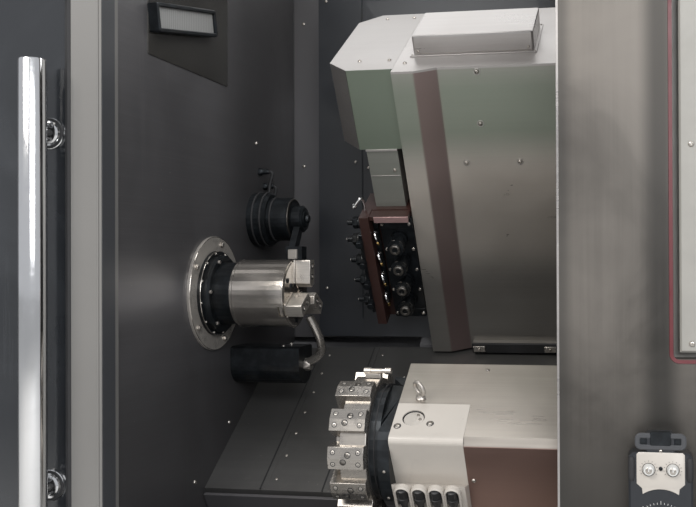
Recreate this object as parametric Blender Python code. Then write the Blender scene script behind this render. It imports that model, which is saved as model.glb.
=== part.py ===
"""A slant-bed CNC turning lathe with its sliding door parked open.

X runs along the spindle to the right, Y to the back and Z up from the floor, in metres.
Pieces that stand on the sloping bed are drawn in the slant frame: X is shared, the second
coordinate runs up the slope and the third one squarely off it.
"""

import math

import bmesh
import bpy
from mathutils import Matrix, Vector

# Overall size and sheet metal
HALF_LENGTH = 1.17
FRONT_FACE = -0.80
REAR_FACE = 0.901
TOTAL_HEIGHT = 1.95
COVER_BOTTOM = 0.12
SHEET = 0.003
FOLD = 0.03
FIT = 0.0003
SLANT = math.radians(33.0)

# Levelling feet
FOOT_HEIGHT = 0.10
FOOT_RADIUS = 0.06
FOOT_STEM_RADIUS = 0.018
FOOT_INSET = 0.35
FOOT_X = HALF_LENGTH - FOOT_INSET
FOOT_FRONT_Y = -0.50
FOOT_BACK_Y = 0.48

# Bed casting, its guideways given in the slant frame
BED_END_SPACE = 0.12
BED_HALF_LENGTH = HALF_LENGTH - BED_END_SPACE
BED_FRONT = -0.66
BED_BACK = 0.60
BED_HEEL_HEIGHT = 0.30
LOWER_WAY_LEVEL = 0.70
UPPER_WAY_LEVEL = 0.77
LOWER_WAY_START = -0.33
SILL_PLACE = 0.0
UPPER_WAY_END = 0.85
RAIL_HEIGHT = 0.02
RAIL_WIDTH = 0.05
LOWER_RAILS = (-0.31, -0.10)
UPPER_RAILS = (0.50, 0.72)
CORE_SIZE = 0.20
CORE_PITCH = 0.25
CORE_WALL = 0.05

# Front opening, its walls and the door
RIGHT_FRONT_WIDTH = 0.77
LINTEL_HEIGHT = 0.19
OPENING_LEFT = -0.33
OPENING_RIGHT = HALF_LENGTH - RIGHT_FRONT_WIDTH
OPENING_BOTTOM = 0.70
OPENING_TOP = TOTAL_HEIGHT - LINTEL_HEIGHT
BULKHEAD_FACE = OPENING_LEFT - 0.001
RIGHT_BAY_WIDTH = 0.31
RIGHT_WALL_FACE = HALF_LENGTH - RIGHT_BAY_WIDTH
WALL_BACK = 0.035
LEFT_RETURN_WIDTH = 0.23
RIGHT_RETURN_WIDTH = 0.20
DOOR_OVERHANG = 0.013
DOOR_END_GAP = 0.034
DOOR_LAP = 0.04
DOOR_RIGHT = OPENING_LEFT + DOOR_OVERHANG
DOOR_WIDTH = HALF_LENGTH + DOOR_RIGHT - DOOR_END_GAP
DOOR_DEPTH = 0.04
DOOR_BOTTOM = OPENING_BOTTOM - DOOR_LAP
DOOR_TOP = OPENING_TOP + DOOR_LAP
DOOR_STILE = 0.053
DOOR_CROSS_RAIL = 0.09
GLASS_THICKNESS = 0.006
GLASS_SETBACK = 0.006
TRACK_HEIGHT = 0.03
TRACK_DEPTH = 0.045
TRACK_OVERRUN = 0.07
TRACK_RIGHT = OPENING_RIGHT + TRACK_OVERRUN
HANDLE_INSET = 0.091
HANDLE_LIFT = 0.04
HANDLE_DROP = 0.32
HANDLE_X = DOOR_RIGHT - HANDLE_INSET
HANDLE_Y = -0.88
HANDLE_RADIUS = 0.021
HANDLE_BOTTOM = DOOR_BOTTOM + HANDLE_LIFT
HANDLE_TOP = DOOR_TOP - HANDLE_DROP
POST_INSET = 0.11
HANDLE_POSTS = (HANDLE_BOTTOM + POST_INSET, HANDLE_TOP - POST_INSET)
POST_RADIUS = 0.011
POST_FLANGE_RADIUS = 0.025
POST_FLANGE_THICKNESS = 0.008

# Spindle and chuck
SPINDLE_Y = -0.418
SPINDLE_Z = 1.10
DRIVE_END_SPACE = 0.27
PULLEY_END_SPACE = 0.215
SHAFT_END_SPACE = 0.18
HEADSTOCK_LEFT = DRIVE_END_SPACE - HALF_LENGTH
HEADSTOCK_WALL_SPACE = 0.014
HEADSTOCK_RIGHT = BULKHEAD_FACE - HEADSTOCK_WALL_SPACE
HEADSTOCK_RADIUS = 0.14
HEADSTOCK_BORE = 0.075
HEADSTOCK_FOOT = (0.02, 0.48)
HEADSTOCK_FLANGE = 0.035
SHAFT_RADIUS = 0.045
SHAFT_LEFT = SHAFT_END_SPACE - HALF_LENGTH
NOSE_RADIUS = 0.062
NOSE_RIGHT = -0.268
FLANGE_RADIUS = 0.115
FLANGE_THICKNESS = 0.006
LABYRINTH_RADIUS = 0.085
LABYRINTH_STEP_RADIUS = 0.077
LABYRINTH_RIGHT = -0.305
CHUCK_RADIUS = 0.0675
CHUCK_FACE = -0.156
CHUCK_BORE = 0.020
CHUCK_RIM = 0.004
JAW_COUNT = 3
JAW_WIDTH = 0.022
JAW_SLOT_DEPTH = 0.014
JAW_INNER = 0.024
JAW_OUTER = 0.064
JAW_STEP = 0.042
JAW_FACE = -0.122
JAW_STEP_FACE = -0.138
PULLEY_LEFT = PULLEY_END_SPACE - HALF_LENGTH
PULLEY_WIDTH = 0.04
SPINDLE_PULLEY_RADIUS = 0.07
MOTOR_PULLEY_RADIUS = 0.05
PULLEY_RIM = 0.004
BELT_THICKNESS = 0.004
MOTOR_LEFT = HEADSTOCK_LEFT
MOTOR_WALL_SPACE = 0.19
MOTOR_RIGHT = OPENING_LEFT - MOTOR_WALL_SPACE
MOTOR_FRONT = 0.53
MOTOR_SIZE = 0.21
MOTOR_CORNER = 0.025
MOTOR_SHAFT_RADIUS = 0.016

# Tool setter and coolant block on the bulkhead
SETTER_Y = -0.20
SETTER_Z = 1.258
SETTER_RADIUS = 0.06
SETTER_RIGHT = -0.24
SETTER_ARM_THICKNESS = 0.024
SETTER_ARM_REACH = (-0.05, -0.077)
SETTER_TIP_SIZE = 0.030
COOLANT_Y = -0.30
COOLANT_Z = 0.945
COOLANT_RADIUS = 0.040
COOLANT_RIGHT = -0.18
COOLANT_PIPE_RADIUS = 0.008

# Telescopic way covers, drawn in the slant frame
COVER_SHEET = 0.002
COVER_LEVEL = 0.850
COVER_SKIRT = 0.030
COVER_REAR = 0.449
COVER_END_SPACE = 0.16
MIDDLE_COVER = (-0.212, 0.10)
CARRIAGE_COVER = (-0.085, RIGHT_WALL_FACE - COVER_END_SPACE)
BACK_COVER_FACE = -0.0703
SADDLE_TRAVEL = 0.10
SLIDE_CLEARANCE = 0.002
BACK_COVER_LEFT = BULKHEAD_FACE + SADDLE_TRAVEL + SLIDE_CLEARANCE
BACK_COVER_RIGHT = CARRIAGE_COVER[1]
BACK_COVER_DROP = 0.11
BACK_COVER_TOP = TOTAL_HEIGHT - BACK_COVER_DROP
CUTOUT_CLEARANCE = 0.015

# Upper saddle and head, drawn in the slant frame
SADDLE_END_SPACE = 0.16
SADDLE_MARGIN = 0.04
ROOF_CLEARANCE = 0.243
UPPER_SADDLE = (0.02, CARRIAGE_COVER[1] - SADDLE_END_SPACE)
UPPER_SADDLE_PLACE = (0.45, 0.80)
UPPER_SADDLE_TOP = 0.864
TONGUE_DEPTH = 0.015
HEAD_LEFT = 0.056
HEAD_RIGHT = UPPER_SADDLE[1] - SADDLE_MARGIN
HEAD_FRONT = 0.441
HEAD_BACK = 0.766
HEAD_TOP = (TOTAL_HEIGHT - ROOF_CLEARANCE - HEAD_BACK * math.sin(SLANT)) / math.cos(SLANT)
HEAD_HEIGHT = HEAD_TOP - UPPER_SADDLE_TOP
HEAD_FACET = 0.015
FACET_EDGES = (0.099, 0.143)
WIPER_HEIGHT = 0.022
WIPER_DEPTH = 0.014
WIPER_LEFT = 0.150
HOOD_LEFT = -0.08
HOOD_CHAMFER = 0.044
HOOD_BOTTOM = UPPER_SADDLE_TOP + HEAD_HEIGHT * 0.75
DRIVE_COVER = (-0.023, 0.041)
DRIVE_COVER_BOTTOM = UPPER_SADDLE_TOP + HEAD_HEIGHT * 0.5527
DRIVE_COVER_BACK = 0.60
TOP_COVER_END_SPACE = 0.1775
TOP_COVER = (0.085, HEAD_RIGHT - TOP_COVER_END_SPACE)
TOP_COVER_PLACE = (0.508, 0.650)
TOP_COVER_HEIGHT = 0.040
EDGE_BEVEL = 0.004

# Gang slide with its live and fixed tools, drawn in the slant frame
GANG_LEFT = -0.05
GANG_PLATE = 0.020
GANG_PLATE_FRONT = 0.395
GANG_FRONT = 0.43
GANG_BACK = 0.50
GANG_BOTTOM = UPPER_SADDLE_TOP + HEAD_HEIGHT * 0.15
GANG_LIP_HEIGHT = 0.010
GANG_LIP_FRONT = 0.402
TOOL_COUNT = 4
TOOL_PITCH = HEAD_HEIGHT * 0.0772
TOOL_TOP = DRIVE_COVER_BOTTOM - TOOL_PITCH * 1.278
LIVE_TOOL_X = 0.022
LIVE_TOOL_RADIUS = TOOL_PITCH * 0.3365
LIVE_TOOL_TIP = 0.375
LIVE_SHANK_RADIUS = LIVE_TOOL_RADIUS * 0.686
LIVE_SHANK_END = 0.485
LIVE_MOUTH_END = 0.12
LIVE_NUT_START = 0.20
LIVE_NUT_END = 0.50
LIVE_NECK_END = 0.72
FIXED_BAR_THICKNESS = 0.010
FIXED_BAR_PLACE = (0.400, 0.442)
FIXED_TOOL_RADIUS = TOOL_PITCH * 0.231
FIXED_TOOL_REACH = 0.014
NOZZLE_RAIL_WIDTH = 0.010
NOZZLE_RADIUS = 0.0028

# Lower saddle, turret housing and turret, drawn in the slant frame
LOWER_SADDLE = (0.08, UPPER_SADDLE[1])
LOWER_SADDLE_PLACE = (-0.32, -0.02)
LOWER_SADDLE_TOP = 0.78
HOUSING_LEFT = 0.113
HOUSING_WHITE_RIGHT = 0.237
HOUSING_RIGHT = HEAD_RIGHT
HOUSING_FRONT = -0.128
HOUSING_TOP = 1.125
HOUSING_WHITE_BACK = -0.0395
HOUSING_BACK = 0.066
HOUSING_BASE_PLACE = (-0.288, -0.09)
HOUSING_BASE_TOP = 0.93
HOUSING_RIDGE = 0.010
COVER_CHAMFER = 0.012
OIL_RECESS_RADIUS = 0.019
OIL_RECESS_DEPTH = 0.006
OIL_RECESS_X = 0.146
OIL_RECESS_PLACE = -0.075
TURRET_PLACE = (-0.041, 1.037)
TURRET_LEFT = 0.011
TURRET_RIGHT = 0.073
TURRET_RADIUS = 0.125
TURRET_STATIONS = 12
NOTCH_DEPTH = 0.020
NOTCH_WIDTH = 0.020
TURRET_HUB_RADIUS = 0.060
TURRET_HUB_RISE = 0.008
TURRET_SHAFT_RADIUS = 0.040
TURRET_SHAFT_RIGHT = 0.160
RING_RADIUS = 0.112
RING_STEP_RADIUS = 0.100
MANIFOLD_TOP = 1.0115
MANIFOLD_BOTTOM = 0.968
MANIFOLD_THICKNESS = 0.024
HOSE_COUNT = 4
HOSE_FIRST_X = 0.1317
HOSE_PITCH = 0.028
GLAND_RADIUS = 0.009
HOSE_RADIUS = 0.0055
EYEBOLT_X = 0.149
EYEBOLT_PLACE = -0.026
EYE_RADIUS = 0.0125
EYE_WIRE = 0.0038

# Control panel and hand pendant on the right-hand front
RECESS_INSET = 0.168
RECESS_END_SPACE = 0.055
RECESS_DROP = 0.23
RECESS_LEFT = OPENING_RIGHT + RECESS_INSET
RECESS_RIGHT = HALF_LENGTH - RECESS_END_SPACE
RECESS_BOTTOM = 1.019
RECESS_TOP = TOTAL_HEIGHT - RECESS_DROP
PANEL_MARGIN = 0.009
PANEL_SETBACK = 0.006
PANEL_FLANGE = 0.015
PANEL_DEPTH = 0.02
STOP_INSET = 0.075
STOP_LIFT = 0.081
STOP_X = RECESS_RIGHT - STOP_INSET
STOP_Z = RECESS_BOTTOM + STOP_LIFT
STOP_RADIUS = 0.020
STOP_HEIGHT = 0.022
STOP_TRAVEL = 0.005
PENDANT_INSET = 0.147
PENDANT_X = OPENING_RIGHT + PENDANT_INSET
PENDANT_WIDTH = 0.091
PENDANT_BOTTOM = 0.722
PENDANT_SHOULDER = 0.882
PENDANT_TOP = 0.915
PENDANT_GRIP = 0.044
PENDANT_DEPTH = 0.036
PENDANT_CHAMFER = 0.014
WHEEL_Z = 0.777
WHEEL_RADIUS = 0.030
WHEEL_DEPTH = 0.018
KNOB_Z = 0.8647
KNOB_OFFSET = 0.017
KNOB_RADIUS = 0.0085
KNOB_DEPTH = 0.010


def remove_everything():
    """Empty the scene."""
    for item in list(bpy.data.objects):
        bpy.data.objects.remove(item, do_unlink=True)


def make_material(name, colour, roughness, metallic=0.0):
    """Return a plain material of one colour."""
    material = bpy.data.materials.new(name)
    material.use_nodes = True
    shader = material.node_tree.nodes["Principled BSDF"]
    shader.inputs["Base Color"].default_value = (*colour, 1.0)
    shader.inputs["Roughness"].default_value = roughness
    shader.inputs["Metallic"].default_value = metallic
    material.diffuse_color = (*colour, 1.0)
    return material


def make_materials():
    """Return the machine's materials by plain name."""
    return {
        "grey_paint": make_material("grey_paint", (0.42, 0.42, 0.41), 0.45),
        "dark_paint": make_material("dark_paint", (0.045, 0.048, 0.052), 0.5),
        "white_paint": make_material("white_paint", (0.62, 0.61, 0.59), 0.45),
        "maroon_paint": make_material("maroon_paint", (0.16, 0.04, 0.035), 0.5),
        "stainless": make_material("stainless", (0.50, 0.49, 0.47), 0.32, 1.0),
        "dark_stainless": make_material("dark_stainless", (0.10, 0.10, 0.10), 0.35, 1.0),
        "cast_iron": make_material("cast_iron", (0.22, 0.22, 0.22), 0.6, 0.6),
        "bright_steel": make_material("bright_steel", (0.62, 0.61, 0.60), 0.22, 1.0),
        "black_steel": make_material("black_steel", (0.02, 0.02, 0.022), 0.4, 0.5),
        "chrome": make_material("chrome", (0.75, 0.76, 0.78), 0.06, 1.0),
        "black_rubber": make_material("black_rubber", (0.015, 0.015, 0.015), 0.7),
        "glass": make_material("glass", (0.02, 0.025, 0.03), 0.08),
        "red_plastic": make_material("red_plastic", (0.55, 0.02, 0.02), 0.35),
        "light_plastic": make_material("light_plastic", (0.60, 0.62, 0.60), 0.4),
    }


class Frame:
    """A place in the machine: an empty together with its world matrix."""

    def __init__(self, name, matrix, parent=None):
        """Add the empty at a world matrix, under its parent."""
        self.matrix = matrix
        self.empty = bpy.data.objects.new(name, None)
        bpy.context.scene.collection.objects.link(self.empty)
        self.empty.empty_display_size = 0.05
        if parent is not None:
            self.empty.parent = parent.empty
            self.empty.matrix_basis = parent.matrix.inverted() @ matrix
        else:
            self.empty.matrix_basis = matrix


UPRIGHT = Matrix.Identity(4)
SLOPED = Matrix.Rotation(SLANT, 4, "X")


def across(place, level):
    """Return the machine's Y and Z of a point given in the slant frame."""
    y = place * math.cos(SLANT) - level * math.sin(SLANT)
    z = place * math.sin(SLANT) + level * math.cos(SLANT)
    return y, z


def slant_place(y, z):
    """Return the slant frame's place and level of a point given by its Y and Z."""
    place = y * math.cos(SLANT) + z * math.sin(SLANT)
    level = z * math.cos(SLANT) - y * math.sin(SLANT)
    return place, level


def add_piece(name, shape, material, body, drawn_in=UPRIGHT, smooth=False, hidden=False):
    """Add a shape to its body's frame; drawn_in is the matrix of the frame it was drawn in."""
    shape.transform(body.matrix.inverted() @ drawn_in)
    bmesh.ops.recalc_face_normals(shape, faces=shape.faces)
    mesh = bpy.data.meshes.new(name)
    shape.to_mesh(mesh)
    shape.free()
    mesh.materials.append(material)
    if smooth:
        mesh.shade_smooth()
        mesh.set_sharp_from_angle(angle=math.radians(35.0))
    piece = bpy.data.objects.new(name, mesh)
    bpy.context.scene.collection.objects.link(piece)
    piece.parent = body.empty
    if hidden:
        piece.hide_render = True
        piece.display_type = "WIRE"
    return piece


def combine(piece, shape, operation, drawn_in=UPRIGHT):
    """Join a shape to a piece, or cut it out, with a Boolean whose operand stays hidden."""
    count = len(piece.modifiers) + 1
    name = f"{piece.name}_{operation.lower()}_{count}"
    body = Body.of(piece)
    operand = add_piece(name, shape, piece.data.materials[0], body, drawn_in, hidden=True)
    step = piece.modifiers.new(name, "BOOLEAN")
    step.operation = operation
    step.solver = "EXACT"
    step.object = operand


class Body(Frame):
    """A frame that carries the pieces of one moving body."""

    by_empty = {}

    def __init__(self, name, matrix, parent=None):
        """Add the body's empty and remember it."""
        super().__init__(name, matrix, parent)
        Body.by_empty[self.empty.name] = self

    @classmethod
    def of(cls, piece):
        """Return the body that carries a piece."""
        return cls.by_empty[piece.parent.name]


def spot(axis, first, second, along):
    """Return a point from two outline values and one value along the axis."""
    if axis == "x":
        return Vector((along, first, second))
    if axis == "y":
        return Vector((first, along, second))
    return Vector((first, second, along))


def add_loop(shape, axis, outline, along):
    """Add one closed loop of corners and edges, and return its corners and edges."""
    corners = [shape.verts.new(spot(axis, first, second, along)) for first, second in outline]
    edges = [shape.edges.new((corners[index - 1], corner)) for index, corner in enumerate(corners)]
    return corners, edges


def fill(shape, loops):
    """Cover the area between an outline and its holes."""
    if len(loops) == 1:
        shape.faces.new(loops[0][0])
        return
    edges = [edge for corners, loop_edges in loops for edge in loop_edges]
    bmesh.ops.triangle_fill(shape, use_beauty=True, use_dissolve=False, edges=edges)


def bridge(shape, first, second):
    """Join two loops of the same number of corners with quads."""
    for index in range(len(first)):
        shape.faces.new((first[index - 1], first[index], second[index], second[index - 1]))


def prism(axis, outline, low, high, holes=()):
    """Extrude an outline, with any holes, along an axis."""
    shape = bmesh.new()
    near = [add_loop(shape, axis, loop, low) for loop in (outline, *holes)]
    far = [add_loop(shape, axis, loop, high) for loop in (outline, *holes)]
    fill(shape, near)
    fill(shape, far)
    for start, end in zip(near, far):
        bridge(shape, start[0], end[0])
    return shape


def box(low, high):
    """Return a box between two corners."""
    return prism("z", rectangle(low[0], high[0], low[1], high[1]), low[2], high[2])


def rectangle(left, right, bottom, top):
    """Return a rectangle's corners."""
    return [(left, bottom), (right, bottom), (right, top), (left, top)]


def arc(centre, radius, start, end, steps):
    """Return points along an arc, angles in degrees, both ends included."""
    points = []
    for index in range(steps + 1):
        angle = math.radians(start + (end - start) * index / steps)
        points.append((centre[0] + radius * math.cos(angle), centre[1] + radius * math.sin(angle)))
    return points


def circle(centre, radius, steps):
    """Return the corners of a closed circle."""
    return arc(centre, radius, 0.0, 360.0, steps)[:-1]


def signed_area(outline):
    """Return an outline's area, positive when it runs anticlockwise."""
    total = 0.0
    for index, (x, y) in enumerate(outline):
        last_x, last_y = outline[index - 1]
        total += last_x * y - x * last_y
    return total / 2.0


def offset_outline(outline, distance):
    """Grow an outline by a distance, or shrink it where the distance is negative."""
    turn = math.copysign(1.0, signed_area(outline))
    grown = []
    for index, point in enumerate(outline):
        here = Vector(point)
        before = (here - Vector(outline[index - 1])).normalized()
        after = (Vector(outline[(index + 1) % len(outline)]) - here).normalized()
        side_before = Vector((before.y, -before.x)) * turn
        side_after = Vector((after.y, -after.x)) * turn
        middle = (side_before + side_after).normalized()
        grown.append(tuple(here + middle * (distance / middle.dot(side_before))))
    return grown


def folded_panel(axis, outline, face, back, holes=()):
    """Return a sheet at face whose outer edge and hole edges are folded back to back."""
    inside = face + math.copysign(SHEET, back - face)
    loops = (outline, *holes)
    inner = [offset_outline(outline, -SHEET)]
    inner += [offset_outline(hole, SHEET) for hole in holes]
    shape = bmesh.new()
    front = [add_loop(shape, axis, loop, face) for loop in loops]
    rim = [add_loop(shape, axis, loop, back) for loop in loops]
    inner_rim = [add_loop(shape, axis, loop, back) for loop in inner]
    inner_face = [add_loop(shape, axis, loop, inside) for loop in inner]
    fill(shape, front)
    fill(shape, inner_face)
    for index in range(len(loops)):
        bridge(shape, front[index][0], rim[index][0])
        bridge(shape, rim[index][0], inner_rim[index][0])
        bridge(shape, inner_rim[index][0], inner_face[index][0])
    return shape


def turned(axis, centre, profile, steps=32):
    """Turn a profile of (along, radius) points about an axis through a centre.

    A profile that starts and ends at radius 0 gives a solid; any other one closes on itself.
    """
    shape = bmesh.new()
    rings = []
    for along, radius in profile:
        if radius == 0.0:
            rings.append([shape.verts.new(spot(axis, centre[0], centre[1], along))])
            continue
        ring = [shape.verts.new(spot(axis, *point, along)) for point in circle(centre, radius, steps)]
        rings.append(ring)
    solid = len(rings[0]) == 1
    pairs = list(zip(rings, rings[1:]))
    if not solid:
        pairs.append((rings[-1], rings[0]))
    for first, second in pairs:
        for index in range(steps):
            if len(first) == 1:
                shape.faces.new((first[0], second[index], second[index - 1]))
            elif len(second) == 1:
                shape.faces.new((first[index - 1], first[index], second[0]))
            else:
                shape.faces.new((first[index - 1], first[index], second[index], second[index - 1]))
    return shape


def smooth_route(points, steps):
    """Return points along a smooth curve through the given ones."""
    knots = [Vector(point) for point in points]
    knots = [2 * knots[0] - knots[1], *knots, 2 * knots[-1] - knots[-2]]
    route = []
    for index in range(1, len(knots) - 2):
        before, start, end, after = knots[index - 1:index + 3]
        for step in range(steps):
            t = step / steps
            bend = 2 * before - 5 * start + 4 * end - after
            cubic = 3 * start - before - 3 * end + after
            route.append(start + 0.5 * t * ((end - before) + t * (bend + t * cubic)))
    route.append(knots[-2])
    return route


def tube(points, radius, sides=8, steps=3):
    """Return a round bar along a smooth route through the points."""
    route = smooth_route(points, steps)
    shape = bmesh.new()
    rings = []
    side = None
    for index, point in enumerate(route):
        forward = (route[min(index + 1, len(route) - 1)] - route[max(index - 1, 0)]).normalized()
        if side is None:
            side = forward.orthogonal().normalized()
        side = (side - forward * side.dot(forward)).normalized()
        other = forward.cross(side)
        ring = []
        for count in range(sides):
            angle = 2.0 * math.pi * count / sides
            ring.append(shape.verts.new(point + radius * (side * math.cos(angle) + other * math.sin(angle))))
        rings.append(ring)
    shape.faces.new(rings[0])
    shape.faces.new(rings[-1])
    for first, second in zip(rings, rings[1:]):
        bridge(shape, first, second)
    return shape


def bevel_edges(piece, width, angle=30.0, segments=2):
    """Break a piece's sharp edges with a Bevel modifier."""
    step = piece.modifiers.new("edges", "BEVEL")
    step.width = width
    step.segments = segments
    step.limit_method = "ANGLE"
    step.angle_limit = math.radians(angle)


def bed_top():
    """Return the bed's stepped top with its rails, front to back, in the slant frame."""
    path = [(LOWER_WAY_START, LOWER_WAY_LEVEL)]
    steps = [(LOWER_RAILS, LOWER_WAY_LEVEL, SILL_PLACE), (UPPER_RAILS, UPPER_WAY_LEVEL, UPPER_WAY_END)]
    for rails, level, end in steps:
        for start in rails:
            path += [(start, level), (start, level + RAIL_HEIGHT)]
            path += [(start + RAIL_WIDTH, level + RAIL_HEIGHT), (start + RAIL_WIDTH, level)]
        path.append((end, level))
        if end == SILL_PLACE:
            path.append((end, UPPER_WAY_LEVEL))
    return path


def bed_outline():
    """Return the bed's cross-section as Y and Z."""
    outline = [(BED_BACK, BED_HEEL_HEIGHT), (BED_BACK, FOOT_HEIGHT), (BED_FRONT, FOOT_HEIGHT)]
    outline.append((BED_FRONT, across(LOWER_WAY_START, LOWER_WAY_LEVEL)[1] - SHEET))
    outline += [across(place, level) for place, level in bed_top()]
    return outline


def is_inside(point, outline):
    """Tell whether a point lies inside an outline."""
    inside = False
    for index, (x, y) in enumerate(outline):
        last_x, last_y = outline[index - 1]
        if (y > point[1]) != (last_y > point[1]):
            crossing = last_x + (x - last_x) * (point[1] - last_y) / (y - last_y)
            if point[0] < crossing:
                inside = not inside
    return inside


def bed_cores(outline):
    """Return the square core openings that fit inside the casting's walls."""
    cores = []
    columns = int((BED_BACK - BED_FRONT) / CORE_PITCH)
    for column in range(columns):
        left = BED_FRONT + CORE_WALL + column * CORE_PITCH
        for row in range(3):
            bottom = FOOT_HEIGHT + CORE_WALL + row * CORE_PITCH
            core = rectangle(left, left + CORE_SIZE, bottom, bottom + CORE_SIZE)
            guard = offset_outline(core, CORE_WALL * 0.7)
            if all(is_inside(corner, outline) for corner in guard):
                cores.append(core)
    return cores


def build_base(bodies, materials):
    """Make the bed casting and the levelling feet."""
    frame = bodies["frame"]
    outline = bed_outline()
    shape = prism("x", outline, -BED_HALF_LENGTH, BED_HALF_LENGTH, bed_cores(outline))
    add_piece("bed_casting", shape, materials["cast_iron"], frame)
    places = [(x, y) for x in (-FOOT_X, FOOT_X) for y in (FOOT_FRONT_Y, FOOT_BACK_Y)]
    for number, place in enumerate(places, 1):
        pad = FOOT_HEIGHT * 0.2
        nut = FOOT_HEIGHT * 0.75
        profile = [(0.0, 0.0), (0.0, FOOT_RADIUS), (pad * 0.6, FOOT_RADIUS), (pad, FOOT_RADIUS * 0.8)]
        profile += [(pad, FOOT_STEM_RADIUS), (nut, FOOT_STEM_RADIUS), (nut, FOOT_STEM_RADIUS * 1.7)]
        profile += [(FOOT_HEIGHT - FIT, FOOT_STEM_RADIUS * 1.7), (FOOT_HEIGHT - FIT, 0.0)]
        shape = turned("z", place, profile, 20)
        add_piece(f"leveling_foot_{number}", shape, materials["black_steel"], frame, smooth=True)


def build_covers(bodies, materials):
    """Make the outer sheet-metal covers."""
    frame = bodies["frame"]
    paint = materials["grey_paint"]
    wall_top = TOTAL_HEIGHT - FOLD - FIT
    front = FRONT_FACE + FOLD + FIT
    back = REAR_FACE - FOLD - FIT
    side = rectangle(front, back, COVER_BOTTOM, wall_top)
    add_piece("left_cover", folded_panel("x", side, -HALF_LENGTH, -HALF_LENGTH + FOLD), paint, frame)
    add_piece("right_cover", folded_panel("x", side, HALF_LENGTH, HALF_LENGTH - FOLD), paint, frame)
    rear = rectangle(-HALF_LENGTH, HALF_LENGTH, COVER_BOTTOM, wall_top)
    add_piece("rear_cover", folded_panel("y", rear, REAR_FACE, REAR_FACE - FOLD), paint, frame)
    plan = rectangle(-HALF_LENGTH, HALF_LENGTH, FRONT_FACE, REAR_FACE)
    roof = folded_panel("z", plan, TOTAL_HEIGHT, TOTAL_HEIGHT - FOLD)
    add_piece("roof_panel", roof, paint, frame)


def track_outline():
    """Return the plan of a door track, stepped where it passes in front of the right panel."""
    left = DOOR_RIGHT - DOOR_WIDTH - TRACK_DEPTH / 2
    front = FRONT_FACE - TRACK_DEPTH
    clear = FRONT_FACE - FIT
    rooted = FRONT_FACE + SHEET / 2
    step = OPENING_RIGHT - FOLD
    plan = [(left, front), (TRACK_RIGHT, front), (TRACK_RIGHT, clear)]
    return plan + [(step, clear), (step, rooted), (left, rooted)]


def build_front(bodies, materials):
    """Make the fixed front: the frame round the opening with its tracks, and the right panel."""
    frame = bodies["frame"]
    wall_top = TOTAL_HEIGHT - FOLD - FIT
    right = OPENING_RIGHT - FIT
    outline = [(-HALF_LENGTH, COVER_BOTTOM), (right, COVER_BOTTOM), (right, OPENING_BOTTOM)]
    outline += [(OPENING_LEFT, OPENING_BOTTOM), (OPENING_LEFT, OPENING_TOP), (right, OPENING_TOP)]
    outline += [(right, wall_top), (-HALF_LENGTH, wall_top)]
    shape = folded_panel("y", outline, FRONT_FACE, FRONT_FACE + FOLD)
    panel = add_piece("front_frame", shape, materials["grey_paint"], frame)
    upper = DOOR_TOP + FIT
    lower = DOOR_BOTTOM - FIT
    for low, high in ((upper, upper + TRACK_HEIGHT), (lower - TRACK_HEIGHT, lower)):
        combine(panel, prism("z", track_outline(), low, high), "UNION")
    outline = rectangle(OPENING_RIGHT, HALF_LENGTH, COVER_BOTTOM, wall_top)
    recess = rectangle(RECESS_LEFT, RECESS_RIGHT, RECESS_BOTTOM, RECESS_TOP)
    shape = folded_panel("y", outline, FRONT_FACE, FRONT_FACE + FOLD, [recess])
    add_piece("front_right_panel", shape, materials["stainless"], frame)


def wall_outline(front):
    """Return an inner side wall's cross-section, its foot following the bed's top."""
    top = TOTAL_HEIGHT - SHEET - FIT
    grown = offset_outline(bed_outline(), FIT)
    path = grown[4:]
    outline = [(front, BED_HEEL_HEIGHT), (BED_FRONT - FIT, BED_HEEL_HEIGHT)]
    outline.append(grown[3])
    outline += [point for point in path if point[0] < WALL_BACK]
    last = outline[-1]
    slope = math.tan(SLANT)
    outline.append((WALL_BACK, last[1] + (WALL_BACK - last[0]) * slope))
    return outline + [(WALL_BACK, top), (front, top)]


def build_inner_walls(bodies, materials):
    """Make the headstock bulkhead and the right inner wall, each with its folded return."""
    frame = bodies["frame"]
    steel = materials["dark_stainless"]
    top = TOTAL_HEIGHT - SHEET - FIT
    foot = across(0.0, UPPER_WAY_LEVEL + 2 * RAIL_HEIGHT)[1]
    foot += (WALL_BACK - across(0.0, UPPER_WAY_LEVEL)[0]) * math.tan(SLANT)
    front = FRONT_FACE + FOLD + FIT
    hole = circle((SPINDLE_Y, SPINDLE_Z), LABYRINTH_RADIUS + SHEET, 48)
    shape = prism("x", wall_outline(front), BULKHEAD_FACE - SHEET, BULKHEAD_FACE, [hole])
    wall = add_piece("headstock_bulkhead", shape, steel, frame)
    low = (BULKHEAD_FACE - SHEET / 2, WALL_BACK - SHEET, foot)
    combine(wall, box(low, (BULKHEAD_FACE + LEFT_RETURN_WIDTH, WALL_BACK, top)), "UNION")
    front += PANEL_DEPTH + FIT
    shape = prism("x", wall_outline(front), RIGHT_WALL_FACE, RIGHT_WALL_FACE + SHEET)
    wall = add_piece("right_inner_wall", shape, steel, frame)
    low = (RIGHT_WALL_FACE - RIGHT_RETURN_WIDTH, WALL_BACK - SHEET, foot)
    combine(wall, box(low, (RIGHT_WALL_FACE + SHEET / 2, WALL_BACK, top)), "UNION")


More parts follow.
